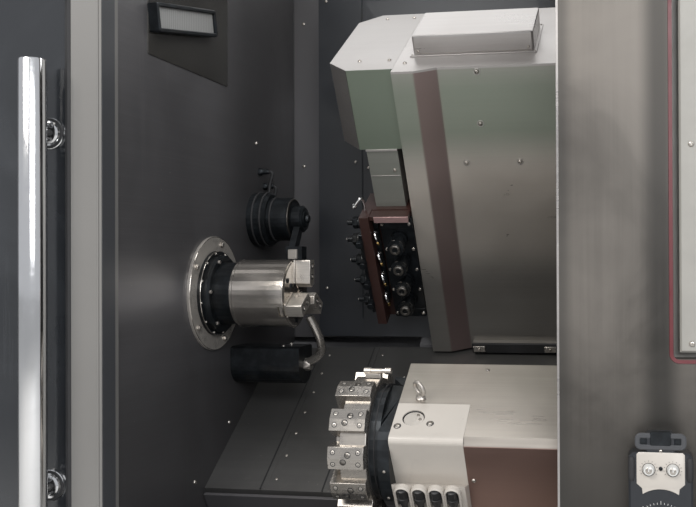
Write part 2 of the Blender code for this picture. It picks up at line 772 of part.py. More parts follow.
def build_door(bodies, materials):
    """Make the sliding door: its folded frame, its window and its handle."""
    door = bodies["door"]
    left = DOOR_RIGHT - DOOR_WIDTH
    face = FRONT_FACE - DOOR_DEPTH
    outline = rectangle(left, DOOR_RIGHT, DOOR_BOTTOM, DOOR_TOP)
    window = rectangle(left + DOOR_STILE, DOOR_RIGHT - DOOR_STILE,
                       DOOR_BOTTOM + DOOR_CROSS_RAIL, DOOR_TOP - DOOR_CROSS_RAIL)
    shape = folded_panel("y", outline, face, FRONT_FACE - FIT, [window])
    add_piece("door_frame", shape, materials["grey_paint"], door)
    pane = offset_outline(window, -FIT)
    start = face + GLASS_SETBACK
    shape = prism("y", pane, start, start + GLASS_THICKNESS)
    add_piece("door_window", shape, materials["glass"], door)
    build_handle(door, face, materials["chrome"])


def build_handle(door, face, chrome):
    """Make the bar handle with its two posts and their round flanges."""
    rim = HANDLE_RADIUS * 0.12
    profile = [(HANDLE_BOTTOM, 0.0), (HANDLE_BOTTOM, HANDLE_RADIUS - rim)]
    profile += [(HANDLE_BOTTOM + rim, HANDLE_RADIUS), (HANDLE_TOP - rim, HANDLE_RADIUS)]
    profile += [(HANDLE_TOP, HANDLE_RADIUS - rim), (HANDLE_TOP, 0.0)]
    shape = turned("z", (HANDLE_X, HANDLE_Y), profile, 32)
    handle = add_piece("door_handle", shape, chrome, door, smooth=True)
    seat = face + GLASS_SETBACK - FIT
    for height in HANDLE_POSTS:
        flange = seat - POST_FLANGE_THICKNESS
        profile = [(HANDLE_Y, 0.0), (HANDLE_Y, POST_RADIUS), (flange, POST_RADIUS)]
        profile += [(flange, POST_FLANGE_RADIUS), (seat, POST_FLANGE_RADIUS), (seat, 0.0)]
        combine(handle, turned("y", (HANDLE_X, height), profile, 24), "UNION")


def headstock_outline():
    """Return the headstock's cross-section in the slant frame: a foot and a round crown."""
    centre = slant_place(SPINDLE_Y, SPINDLE_Z)
    front, back = HEADSTOCK_FOOT
    floor = UPPER_WAY_LEVEL + FIT
    shelf = floor + HEADSTOCK_FLANGE
    outline = [(front, floor), (back, floor), (back, shelf)]
    outline.append((centre[0] + HEADSTOCK_RADIUS, shelf + HEADSTOCK_FLANGE))
    outline += arc(centre, HEADSTOCK_RADIUS, 0.0, 180.0, 20)
    outline.append((centre[0] - HEADSTOCK_RADIUS, shelf + HEADSTOCK_FLANGE))
    outline.append((front, shelf))
    return outline


def build_headstock(bodies, materials):
    """Make the headstock casting, the bearing cartridge and the rings round the nose."""
    frame = bodies["frame"]
    centre = (SPINDLE_Y, SPINDLE_Z)
    bore = circle(slant_place(*centre), HEADSTOCK_BORE, 40)
    shape = prism("x", headstock_outline(), HEADSTOCK_LEFT, HEADSTOCK_RIGHT, [bore])
    add_piece("headstock_housing", shape, materials["cast_iron"], frame, SLOPED, smooth=True)
    inner = SHAFT_RADIUS + FIT * 2
    outer = HEADSTOCK_BORE - FIT * 2
    left = HEADSTOCK_LEFT + FOLD
    right = HEADSTOCK_RIGHT - FIT
    profile = [(left, inner), (left, outer), (right, outer), (right, inner)]
    cartridge = turned("x", centre, profile, 40)
    add_piece("spindle_cartridge", cartridge, materials["bright_steel"], frame, smooth=True)
    hole = LABYRINTH_RADIUS + FIT
    left = BULKHEAD_FACE + FIT
    right = left + FLANGE_THICKNESS
    rim = FLANGE_THICKNESS / 3
    profile = [(left, hole), (left, FLANGE_RADIUS), (right - rim, FLANGE_RADIUS)]
    profile += [(right, FLANGE_RADIUS - rim), (right, hole)]
    flange = turned("x", centre, profile, 48)
    add_piece("spindle_flange", flange, materials["stainless"], frame, smooth=True)
    build_labyrinth(frame, centre, materials["black_steel"])


def build_labyrinth(frame, centre, steel):
    """Make the black bolted ring that seals the spindle nose."""
    inner = NOSE_RADIUS + FIT
    left = HEADSTOCK_RIGHT + FIT
    step = BULKHEAD_FACE + FLANGE_THICKNESS * 2.2
    lip = (LABYRINTH_RADIUS - LABYRINTH_STEP_RADIUS) / 2
    profile = [(left, inner), (left, LABYRINTH_RADIUS), (step, LABYRINTH_RADIUS)]
    profile += [(step, LABYRINTH_STEP_RADIUS), (LABYRINTH_RIGHT - lip, LABYRINTH_STEP_RADIUS)]
    profile += [(LABYRINTH_RIGHT, LABYRINTH_STEP_RADIUS - lip), (LABYRINTH_RIGHT, inner)]
    add_piece("labyrinth_ring", turned("x", centre, profile, 48), steel, frame, smooth=True)


def build_spindle(bodies, materials):
    """Make the spindle shaft with its nose, its pulley, the chuck and the jaws."""
    spindle = bodies["spindle"]
    centre = (SPINDLE_Y, SPINDLE_Z)
    shoulder = HEADSTOCK_RIGHT + FIT
    profile = [(SHAFT_LEFT, 0.0), (SHAFT_LEFT, SHAFT_RADIUS), (shoulder, SHAFT_RADIUS)]
    profile += [(shoulder, NOSE_RADIUS), (NOSE_RIGHT, NOSE_RADIUS), (NOSE_RIGHT, 0.0)]
    shaft = turned("x", centre, profile, 40)
    add_piece("spindle_shaft", shaft, materials["black_steel"], spindle, smooth=True)
    pulley = pulley_profile(SPINDLE_PULLEY_RADIUS, SHAFT_RADIUS + FIT)
    pulley = turned("x", centre, pulley, 40)
    add_piece("spindle_pulley", pulley, materials["cast_iron"], spindle, smooth=True)
    build_chuck(bodies, materials)


def pulley_profile(radius, bore):
    """Return a flanged belt pulley's section."""
    left = PULLEY_LEFT
    right = PULLEY_LEFT + PULLEY_WIDTH
    rim = radius + BELT_THICKNESS
    profile = [(left, bore), (left, rim), (left + PULLEY_RIM, rim), (left + PULLEY_RIM, radius)]
    profile += [(right - PULLEY_RIM, radius), (right - PULLEY_RIM, rim), (right, rim), (right, bore)]
    return profile


def build_chuck(bodies, materials):
    """Make the chuck body, slotted for its jaws, and the three sliding jaws."""
    spindle = bodies["spindle"]
    centre = (SPINDLE_Y, SPINDLE_Z)
    left = NOSE_RIGHT + FIT
    profile = [(left, CHUCK_BORE), (left, CHUCK_RADIUS), (CHUCK_FACE - CHUCK_RIM, CHUCK_RADIUS)]
    profile += [(CHUCK_FACE, CHUCK_RADIUS - CHUCK_RIM), (CHUCK_FACE, CHUCK_BORE)]
    shape = turned("x", centre, profile, 48)
    chuck = add_piece("chuck_body", shape, materials["bright_steel"], spindle, smooth=True)
    for number in range(JAW_COUNT):
        turn = jaw_turn(number)
        low = (CHUCK_FACE - JAW_SLOT_DEPTH, -JAW_WIDTH / 2 - FIT, CHUCK_BORE * 0.5)
        high = (CHUCK_FACE + JAW_SLOT_DEPTH, JAW_WIDTH / 2 + FIT, CHUCK_RADIUS * 1.2)
        combine(chuck, box(low, high), "DIFFERENCE", turn)
        outline = jaw_outline()
        shape = prism("y", outline, -JAW_WIDTH / 2, JAW_WIDTH / 2)
        jaw = bodies[f"jaw_{number + 1}"]
        add_piece(f"chuck_jaw_{number + 1}", shape, materials["bright_steel"], jaw, turn)


def jaw_turn(number):
    """Return the matrix that turns a drawing about the spindle axis onto one jaw's place."""
    angle = 2.0 * math.pi * number / JAW_COUNT
    return Matrix.Translation((0.0, SPINDLE_Y, SPINDLE_Z)) @ Matrix.Rotation(angle, 4, "X")


def jaw_outline():
    """Return a stepped jaw's outline as X and height above the spindle axis."""
    root = CHUCK_FACE - JAW_SLOT_DEPTH + FIT
    slope = (JAW_FACE - JAW_STEP_FACE) * 0.6
    outline = [(root, JAW_INNER), (JAW_FACE - slope, JAW_INNER), (JAW_FACE, JAW_INNER + slope)]
    outline += [(JAW_FACE, JAW_STEP), (JAW_STEP_FACE, JAW_STEP), (JAW_STEP_FACE, JAW_OUTER - slope)]
    outline += [(JAW_STEP_FACE - slope, JAW_OUTER), (root, JAW_OUTER)]
    return outline


def build_drive(bodies, materials):
    """Make the spindle motor, its pulley with the shaft, and the flat belt."""
    frame = bodies["frame"]
    level = UPPER_WAY_LEVEL + RAIL_HEIGHT + FIT
    side = MOTOR_SIZE
    front = MOTOR_FRONT
    corner = MOTOR_CORNER
    outline = rectangle(front, front + side, level, level + side)
    outline[2:] = [(front + side, level + side - corner), (front + side - corner, level + side),
                   (front + corner, level + side), (front, level + side - corner)]
    centre = (front + side / 2, level + side / 2)
    shape = prism("x", outline, MOTOR_LEFT, MOTOR_RIGHT)
    motor = add_piece("spindle_motor", shape, materials["dark_paint"], frame, SLOPED)
    depth = MOTOR_LEFT + FOLD + FIT
    hole = turned("x", centre, bar_profile(MOTOR_LEFT - FOLD, depth, MOTOR_SHAFT_RADIUS + FIT), 20)
    combine(motor, hole, "DIFFERENCE", SLOPED)
    profile = [(PULLEY_LEFT, 0.0)]
    profile += pulley_profile(MOTOR_PULLEY_RADIUS, MOTOR_SHAFT_RADIUS)[1:]
    profile += [(MOTOR_LEFT + FOLD, MOTOR_SHAFT_RADIUS), (MOTOR_LEFT + FOLD, 0.0)]
    pulley = turned("x", centre, profile, 32)
    body = bodies["motor_pulley"]
    add_piece("motor_pulley", pulley, materials["cast_iron"], body, SLOPED, smooth=True)
    build_belt(frame, centre, materials["black_rubber"])


def bar_profile(low, high, radius):
    """Return the profile of a plain round bar."""
    return [(low, 0.0), (low, radius), (high, radius), (high, 0.0)]


def belt_outline(first, first_radius, second, second_radius):
    """Return the outline round two circles, joined by their outer tangents."""
    first = Vector(first)
    second = Vector(second)
    line = second - first
    heading = math.degrees(math.atan2(line.y, line.x))
    lean = math.degrees(math.asin((first_radius - second_radius) / line.length))
    outline = arc(first, first_radius, heading + 90.0 - lean, heading + 270.0 + lean, 16)
    outline += arc(second, second_radius, heading - 90.0 + lean, heading + 90.0 - lean, 12)
    return outline


def build_belt(frame, centre, rubber):
    """Make the flat belt that runs over both pulleys."""
    spindle = slant_place(SPINDLE_Y, SPINDLE_Z)
    loops = []
    for extra in (FIT * 2, BELT_THICKNESS - FIT):
        radii = (SPINDLE_PULLEY_RADIUS + extra, MOTOR_PULLEY_RADIUS + extra)
        loops.append(belt_outline(spindle, radii[0], centre, radii[1]))
    left = PULLEY_LEFT + PULLEY_RIM + FIT
    right = PULLEY_LEFT + PULLEY_WIDTH - PULLEY_RIM - FIT
    shape = prism("x", loops[1], left, right, [loops[0]])
    add_piece("drive_belt", shape, rubber, frame, SLOPED, smooth=True)


def build_tool_setter(bodies, materials):
    """Make the tool setter's round hub on the bulkhead and its swinging arm."""
    frame = bodies["frame"]
    centre = (SETTER_Y, SETTER_Z)
    left = BULKHEAD_FACE + FIT
    middle = left + (SETTER_RIGHT - left) * 0.45
    waist = SETTER_RADIUS * 0.80
    rim = SETTER_RADIUS * 0.08
    profile = [(left, 0.0), (left, SETTER_RADIUS), (middle - rim, SETTER_RADIUS)]
    profile += [(middle, SETTER_RADIUS - rim), (middle, waist), (SETTER_RIGHT - rim, waist)]
    profile += [(SETTER_RIGHT, waist - rim), (SETTER_RIGHT, 0.0)]
    hub = turned("x", centre, profile, 32)
    add_piece("tool_setter_hub", hub, materials["black_steel"], frame, smooth=True)
    start = SETTER_RIGHT + FIT
    end = start + SETTER_ARM_THICKNESS
    boss = waist * 0.62
    profile = [(start, 0.0), (start, boss), (end - rim, boss), (end, boss - rim), (end, 0.0)]
    body = bodies["tool_setter"]
    shape = turned("x", centre, profile, 24)
    arm = add_piece("tool_setter_arm", shape, materials["black_steel"], body, smooth=True)
    tip = Vector(centre) + Vector(SETTER_ARM_REACH)
    along = Vector(SETTER_ARM_REACH).normalized()
    side = Vector((-along.y, along.x)) * SETTER_TIP_SIZE * 0.35
    root = Vector(centre)
    outline = [root - side, root + side, tip + side, tip - side]
    inset = SETTER_ARM_THICKNESS * 0.2
    combine(arm, prism("x", outline, start + inset, end - inset), "UNION")
    half = SETTER_TIP_SIZE / 2
    low = (start + inset / 2, tip.x - half, tip.y - half)
    high = (end + half, tip.x + half, tip.y + half)
    combine(arm, box(low, high), "UNION")


def build_coolant_block(bodies, materials):
    """Make the coolant block on the bulkhead with its curved pipe."""
    frame = bodies["frame"]
    left = BULKHEAD_FACE + FIT
    radius = COOLANT_RADIUS
    top = COOLANT_Z + radius
    shoulder = COOLANT_Z + radius * 0.9
    crown = radius * 0.8
    outline = arc((COOLANT_Y, COOLANT_Z), radius, 180.0, 360.0, 12)
    outline += [(COOLANT_Y + radius, shoulder), (COOLANT_Y + crown, top)]
    outline += [(COOLANT_Y - crown, top), (COOLANT_Y - radius, shoulder)]
    shape = prism("x", outline, left, COOLANT_RIGHT)
    block = add_piece("coolant_block", shape, materials["black_steel"], frame)
    reach = radius * 0.9
    rise = radius * 2.6
    route = [(COOLANT_RIGHT - radius * 0.4, COOLANT_Y, COOLANT_Z), (COOLANT_RIGHT, COOLANT_Y, COOLANT_Z)]
    route += [(COOLANT_RIGHT + reach, COOLANT_Y - radius * 0.3, COOLANT_Z + rise * 0.22)]
    route += [(COOLANT_RIGHT + reach * 1.1, COOLANT_Y - radius * 0.6, COOLANT_Z + rise * 0.55)]
    route += [(COOLANT_RIGHT + reach * 0.6, COOLANT_Y - radius * 0.9, COOLANT_Z + rise)]
    combine(block, tube(route, COOLANT_PIPE_RADIUS, 10, 4), "UNION")


def channel(front, rear, level, skirt, rear_skirt):
    """Return the section of a cover sheet with its front and rear edges folded down."""
    inner = COVER_SHEET
    outline = [(front, level - skirt), (front, level), (rear, level)]
    if rear_skirt:
        outline += [(rear, level - rear_skirt), (rear - inner, level - rear_skirt)]
        outline.append((rear - inner, level - inner))
    else:
        outline.append((rear, level - inner))
    return outline + [(front + inner, level - inner), (front + inner, level - skirt)]


def cutout_top(face):
    """Return the height just above where the head's back or top passes through the back cover."""
    back_level = (HEAD_BACK * math.cos(SLANT) - face) / math.sin(SLANT)
    top_place = (face + HEAD_TOP * math.sin(SLANT)) / math.cos(SLANT)
    crossings = (across(HEAD_BACK, back_level), across(top_place, HEAD_TOP))
    return min(height for _, height in crossings) + CUTOUT_CLEARANCE


def build_way_covers(bodies, materials):
    """Make the three nested way covers and the back cover that the head passes through."""
    steel = materials["dark_stainless"]
    step = COVER_SHEET + FIT
    left = BULKHEAD_FACE + FIT
    level = COVER_LEVEL + COVER_SHEET
    skirt = level - UPPER_WAY_LEVEL - FIT
    shape = prism("x", channel(step + step, COVER_REAR, level, skirt, skirt), left, RIGHT_WALL_FACE - FIT)
    add_piece("fixed_way_cover", shape, steel, bodies["frame"], SLOPED)
    level += step
    shape = prism("x", channel(step, COVER_REAR, level, COVER_SKIRT, 0.0), *MIDDLE_COVER)
    add_piece("middle_way_cover", shape, steel, bodies["middle_cover"], SLOPED)
    level += step
    rear = UPPER_SADDLE_PLACE[0] - FIT
    shape = prism("x", channel(0.0, rear, level, COVER_SKIRT, 0.0), *CARRIAGE_COVER)
    add_piece("carriage_way_cover", shape, steel, bodies["upper_saddle"], SLOPED)
    face = BACK_COVER_FACE
    back = face + COVER_SHEET
    foot = (UPPER_SADDLE_TOP + FIT + back * math.sin(SLANT)) / math.cos(SLANT)
    hole_left = HEAD_LEFT - FIT - FIT
    hole_right = HEAD_RIGHT + FIT + FIT
    hole_top = cutout_top(face)
    outline = [(BACK_COVER_LEFT, foot), (hole_left, foot), (hole_left, hole_top)]
    outline += [(hole_right, hole_top), (hole_right, foot), (BACK_COVER_RIGHT, foot)]
    outline += [(BACK_COVER_RIGHT, BACK_COVER_TOP), (BACK_COVER_LEFT, BACK_COVER_TOP)]
    shape = prism("y", outline, face, back)
    add_piece("back_cover", shape, materials["dark_paint"], bodies["upper_saddle"])


def saddle_outline(place, rails, way_level, top):
    """Return a saddle's section: it rides on two rails with a tongue between them."""
    front, back = place
    seat = way_level + RAIL_HEIGHT + FIT
    tongue_left = rails[0] + RAIL_WIDTH + FIT
    tongue_right = rails[1] - FIT
    outline = [(front, seat), (tongue_left, seat), (tongue_left, seat - TONGUE_DEPTH)]
    outline += [(tongue_right, seat - TONGUE_DEPTH), (tongue_right, seat), (back, seat)]
    return outline + [(back, top), (front, top)]


def build_upper_head(bodies, materials):
    """Make the upper saddle, the head on it, the hood on its left and the cover on its top."""
    iron = materials["cast_iron"]
    steel = materials["stainless"]
    outline = saddle_outline(UPPER_SADDLE_PLACE, UPPER_RAILS, UPPER_WAY_LEVEL, UPPER_SADDLE_TOP)
    shape = prism("x", outline, *UPPER_SADDLE)
    add_piece("upper_saddle", shape, iron, bodies["upper_saddle"], SLOPED)
    head = bodies["upper_head"]
    floor = UPPER_SADDLE_TOP + FIT
    front = HEAD_FRONT - HEAD_FACET
    plan = [(HEAD_LEFT, front), (FACET_EDGES[0], front), (FACET_EDGES[1], HEAD_FRONT)]
    plan += [(HEAD_RIGHT, HEAD_FRONT), (HEAD_RIGHT, HEAD_BACK), (HEAD_LEFT, HEAD_BACK)]
    main = add_piece("upper_head", prism("z", plan, floor, HEAD_TOP), steel, head, SLOPED)
    low = (WIPER_LEFT, HEAD_FRONT - WIPER_DEPTH, floor)
    high = (HEAD_RIGHT - SHEET, HEAD_FRONT + SHEET, floor + WIPER_HEIGHT)
    combine(main, box(low, high), "UNION", SLOPED)
    right = HEAD_LEFT - FIT
    chamfer = HOOD_CHAMFER
    plan = [(right, HEAD_FRONT), (HOOD_LEFT + chamfer, HEAD_FRONT), (HOOD_LEFT, HEAD_FRONT + chamfer)]
    plan += [(HOOD_LEFT, HEAD_BACK - chamfer), (HOOD_LEFT + chamfer, HEAD_BACK), (right, HEAD_BACK)]
    hood = add_piece("head_hood", prism("z", plan, HOOD_BOTTOM, HEAD_TOP), steel, head, SLOPED)
    low = (DRIVE_COVER[0], HEAD_FRONT + SHEET / 2, DRIVE_COVER_BOTTOM)
    high = (DRIVE_COVER[1], DRIVE_COVER_BACK, HOOD_BOTTOM + SHEET)
    combine(hood, box(low, high), "UNION", SLOPED)
    low = (TOP_COVER[0], TOP_COVER_PLACE[0], HEAD_TOP + FIT)
    high = (TOP_COVER[1], TOP_COVER_PLACE[1], HEAD_TOP + TOP_COVER_HEIGHT)
    cover = add_piece("head_top_cover", box(low, high), steel, head, SLOPED)
    bevel_edges(cover, EDGE_BEVEL)


def tool_level(number):
    """Return the level of one row of tools on the gang slide."""
    return TOOL_TOP - number * TOOL_PITCH


def build_gang(bodies, materials):
    """Make the gang slide with its four live tools, its fixed tool bar and coolant nozzles."""
    gang = bodies["gang"]
    right = HEAD_LEFT - FIT
    top = DRIVE_COVER_BOTTOM - FIT
    plate = GANG_LEFT + GANG_PLATE
    plan = [(GANG_LEFT, GANG_PLATE_FRONT), (plate, GANG_PLATE_FRONT), (plate, GANG_FRONT)]
    plan += [(right, GANG_FRONT), (right, GANG_BACK), (GANG_LEFT, GANG_BACK)]
    shape = prism("z", plan, GANG_BOTTOM, top)
    slide = add_piece("gang_slide", shape, materials["maroon_paint"], gang, SLOPED)
    low = (plate - SHEET, GANG_LIP_FRONT, top - GANG_LIP_HEIGHT)
    combine(slide, box(low, (right - SHEET, GANG_FRONT + SHEET, top - SHEET / 2)), "UNION", SLOPED)
    for number in range(TOOL_COUNT):
        centre = (LIVE_TOOL_X, tool_level(number))
        profile = bar_profile(GANG_FRONT - SHEET, LIVE_SHANK_END + FIT, LIVE_SHANK_RADIUS + FIT)
        combine(slide, turned("y", centre, profile, 20), "DIFFERENCE", SLOPED)
        build_live_tool(bodies[f"live_tool_{number + 1}"], number, centre, materials["black_steel"])
    build_fixed_tools(gang, materials["black_steel"])
    build_nozzles(gang, plate, materials["bright_steel"])


def build_live_tool(body, number, centre, steel):
    """Make one live tool: its shank in the slide and its stepped collet nose."""
    seat = GANG_FRONT - FIT
    tip = LIVE_TOOL_TIP
    reach = seat - tip
    collar = LIVE_TOOL_RADIUS
    neck = collar * 0.78
    nut = collar * 0.92
    mouth = collar * 0.5
    chamfer_end = tip + reach * LIVE_MOUTH_END
    nut_start = tip + reach * LIVE_NUT_START
    nut_end = tip + reach * LIVE_NUT_END
    neck_end = tip + reach * LIVE_NECK_END
    profile = [(tip, 0.0), (tip, mouth), (chamfer_end, (mouth + nut) * 0.6), (nut_start, nut)]
    profile += [(nut_end, nut), (nut_end, neck), (neck_end, neck), (neck_end, collar)]
    profile += [(seat, collar), (seat, LIVE_SHANK_RADIUS)]
    profile += [(LIVE_SHANK_END, LIVE_SHANK_RADIUS), (LIVE_SHANK_END, 0.0)]
    shape = turned("y", centre, profile, 20)
    add_piece(f"live_tool_{number + 1}", shape, steel, body, SLOPED, smooth=True)


def build_fixed_tools(gang, steel):
    """Make the bar of fixed tool holders that point at the chuck."""
    right = GANG_LEFT - FIT
    left = right - FIXED_BAR_THICKNESS
    front, back = FIXED_BAR_PLACE
    half = TOOL_PITCH * 0.42
    low = (left, front, tool_level(TOOL_COUNT - 1) - half)
    high = (right, back, tool_level(0) + half)
    bar = add_piece("fixed_tool_bar", box(low, high), steel, gang, SLOPED)
    bevel_edges(bar, SHEET / 2, segments=1)
    tip = left - FIXED_TOOL_REACH
    radius = FIXED_TOOL_RADIUS
    for number in range(TOOL_COUNT):
        centre = ((front + back) / 2, tool_level(number))
        profile = [(tip, 0.0), (tip, radius * 0.55), (tip + radius * 0.3, radius * 0.8)]
        profile += [(tip + radius * 0.6, radius), (left + SHEET, radius), (left + SHEET, 0.0)]
        combine(bar, turned("x", centre, profile, 16), "UNION", SLOPED)


def build_nozzles(gang, plate, steel):
    """Make the coolant rail and its small curved nozzles."""
    left = plate + FIT
    right = left + NOZZLE_RAIL_WIDTH
    back = GANG_FRONT - FIT
    front = back - NOZZLE_RAIL_WIDTH
    low = (left, front, tool_level(TOOL_COUNT - 1))
    high = (right, back, tool_level(0) + TOOL_PITCH * 0.8)
    rail = add_piece("coolant_nozzles", box(low, high), steel, gang, SLOPED)
    middle = (left + right) / 2
    for number in range(TOOL_COUNT):
        level = tool_level(number) + TOOL_PITCH * 0.45
        reach = NOZZLE_RAIL_WIDTH
        route = [(middle, front + reach * 0.5, level), (middle, front - reach * 0.6, level)]
        route += [(middle + reach * 0.4, front - reach * 1.7, level - reach * 0.7)]
        route += [(middle + reach * 0.6, front - reach * 2.1, level - reach * 2.0)]
        combine(rail, tube(route, NOZZLE_RADIUS, 8, 2), "UNION", SLOPED)


def build_turret_housing(bodies, materials):
    """Make the lower saddle, the white turret housing and the stainless cover behind it."""
    outline = saddle_outline(LOWER_SADDLE_PLACE, LOWER_RAILS, LOWER_WAY_LEVEL, LOWER_SADDLE_TOP)
    shape = prism("x", outline, *LOWER_SADDLE)
    add_piece("lower_saddle", shape, materials["cast_iron"], bodies["lower_saddle"], SLOPED)
    slide = bodies["lower_slide"]
    inside = HOUSING_TOP - SHEET - FIT
    back = HOUSING_BACK - SHEET - FIT
    ridge = (HOUSING_FRONT + HOUSING_RIDGE, HOUSING_TOP - HOUSING_RIDGE)
    lap = SHEET
    outline = [(HOUSING_FRONT, HOUSING_BASE_TOP - lap), *arc(ridge, HOUSING_RIDGE, 180.0, 90.0, 5)]
    outline += [(HOUSING_WHITE_BACK, HOUSING_TOP), (HOUSING_WHITE_BACK, inside)]
    outline += [(back, inside), (back, HOUSING_BASE_TOP)]
    outline.append((HOUSING_BASE_PLACE[1] - lap, HOUSING_BASE_TOP - lap))
    shape = prism("x", outline, HOUSING_LEFT, HOUSING_WHITE_RIGHT)
    housing = add_piece("turret_housing", shape, materials["white_paint"], slide, SLOPED, smooth=True)
    low = (HOUSING_LEFT, HOUSING_BASE_PLACE[0], LOWER_SADDLE_TOP + FIT)
    high = (HOUSING_RIGHT, HOUSING_BASE_PLACE[1], HOUSING_BASE_TOP)
    combine(housing, box(low, high), "UNION", SLOPED)
    centre = TURRET_PLACE
    bore = bar_profile(HOUSING_LEFT - SHEET, TURRET_SHAFT_RIGHT + FIT, TURRET_SHAFT_RADIUS + FIT)
    combine(housing, turned("x", centre, bore, 28), "DIFFERENCE", SLOPED)
    recess = bar_profile(HOUSING_TOP - OIL_RECESS_DEPTH, HOUSING_TOP + SHEET, OIL_RECESS_RADIUS)
    centre = (OIL_RECESS_X, OIL_RECESS_PLACE)
    combine(housing, turned("z", centre, recess, 24), "DIFFERENCE", SLOPED)
    build_turret_cover(slide, materials["stainless"])


def cover_outline(inset, floor):
    """Return the turret cover's section, drawn in by an inset."""
    front = HOUSING_FRONT + inset
    back = HOUSING_BACK - inset
    top = HOUSING_TOP - inset
    cut = COVER_CHAMFER - inset * 0.4
    return [(front, floor), (front, top - cut), (front + cut, top), (back, top), (back, floor)]


def build_turret_cover(slide, steel):
    """Make the folded stainless cover of the turret drive, with its plate over the casting."""
    floor = HOUSING_BASE_TOP + FIT
    left = HOUSING_WHITE_RIGHT + FIT
    shape = prism("x", cover_outline(0.0, floor), left, HOUSING_RIGHT)
    cover = add_piece("turret_cover", shape, steel, slide, SLOPED)
    hollow = prism("x", cover_outline(SHEET, floor - SHEET), left - SHEET, HOUSING_RIGHT - SHEET)
    combine(cover, hollow, "DIFFERENCE", SLOPED)
    front = HOUSING_WHITE_BACK + FIT
    inner = HOUSING_BACK - SHEET
    outline = [(front, HOUSING_TOP - SHEET), (front, HOUSING_TOP), (HOUSING_BACK, HOUSING_TOP)]
    outline += [(HOUSING_BACK, floor), (inner, floor), (inner, HOUSING_TOP - SHEET)]
    combine(cover, prism("x", outline, HOUSING_LEFT, left + SHEET), "UNION", SLOPED)


def turret_outline():
    """Return the turret disc's outline: a flat for each station and a notch between them."""
    outline = []
    sector = 2.0 * math.pi / TURRET_STATIONS
    notch = math.atan2(NOTCH_WIDTH / 2, TURRET_RADIUS)
    corner = 0.32
    for station in range(TURRET_STATIONS):
        middle = station * sector
        start = middle - sector / 2 + notch
        end = middle + sector / 2 - notch
        floor = TURRET_RADIUS - NOTCH_DEPTH
        shoulder = TURRET_RADIUS - NOTCH_DEPTH * corner
        rounded = notch * corner
        for radius, angle in ((floor, start), (shoulder, start), (TURRET_RADIUS, start + rounded),
                              (TURRET_RADIUS, end - rounded), (shoulder, end), (floor, end)):
            outline.append((TURRET_PLACE[0] + radius * math.cos(angle),
                            TURRET_PLACE[1] + radius * math.sin(angle)))
    return outline


def build_turret(bodies, materials):
    """Make the indexing turret disc with its shaft, the black ring, hoses and eyebolt."""
    turret = bodies["turret"]
    shape = prism("x", turret_outline(), TURRET_LEFT, TURRET_RIGHT)
    disc = add_piece("turret_disc", shape, materials["bright_steel"], turret, SLOPED)
    hub = TURRET_LEFT - TURRET_HUB_RISE
    profile = [(hub, 0.0), (hub, TURRET_HUB_RADIUS * 0.85), (hub + TURRET_HUB_RISE / 2, TURRET_HUB_RADIUS)]
    profile += [(TURRET_LEFT + SHEET, TURRET_HUB_RADIUS), (TURRET_LEFT + SHEET, TURRET_SHAFT_RADIUS)]
    profile += [(TURRET_SHAFT_RIGHT, TURRET_SHAFT_RADIUS), (TURRET_SHAFT_RIGHT, 0.0)]
    combine(disc, turned("x", TURRET_PLACE, profile, 28), "UNION", SLOPED)
    slide = bodies["lower_slide"]
    left = TURRET_RIGHT + FIT
    right = HOUSING_LEFT - FIT
    middle = (left + right) / 2
    bore = TURRET_SHAFT_RADIUS + FIT
    profile = [(left, bore), (left, RING_STEP_RADIUS), (middle, RING_STEP_RADIUS)]
    profile += [(middle, RING_RADIUS), (right, RING_RADIUS), (right, bore)]
    ring = turned("x", TURRET_PLACE, profile, 40)
    clip = prism("x", rectangle(TURRET_PLACE[0] - RING_RADIUS * 2, TURRET_PLACE[0] + RING_RADIUS * 2,
                                HOUSING_TOP, HOUSING_TOP + RING_RADIUS), middle, HOUSING_LEFT + SHEET)
    ring = add_piece("turret_ring", ring, materials["black_steel"], slide, SLOPED, smooth=True)
    combine(ring, clip, "DIFFERENCE", SLOPED)
    build_manifold(slide, materials["white_paint"])
    build_eyebolt(slide, materials["bright_steel"])


def build_manifold(slide, paint):
    """Make the hose flange on the housing's front with its glands and short hoses."""
    back = HOUSING_FRONT - FIT
    front = back - MANIFOLD_THICKNESS
    low = (HOUSING_LEFT, front, MANIFOLD_BOTTOM)
    high = (HOUSING_WHITE_RIGHT, back, MANIFOLD_TOP)
    flange = add_piece("hose_manifold", box(low, high), paint, slide, SLOPED)
    place = (front + back) / 2
    base = HOUSING_BASE_TOP + FIT
    for number in range(HOSE_COUNT):
        x = HOSE_FIRST_X + number * HOSE_PITCH
        gland = MANIFOLD_BOTTOM - GLAND_RADIUS * 1.3
        profile = [(gland, 0.0), (gland, GLAND_RADIUS * 0.8), (gland + GLAND_RADIUS * 0.5, GLAND_RADIUS)]
        profile += [(MANIFOLD_BOTTOM + SHEET, GLAND_RADIUS), (MANIFOLD_BOTTOM + SHEET, 0.0)]
        combine(flange, turned("z", (x, place), profile, 12), "UNION", SLOPED)
        profile = bar_profile(base, gland + SHEET, HOSE_RADIUS)
        combine(flange, turned("z", (x, place), profile, 10), "UNION", SLOPED)


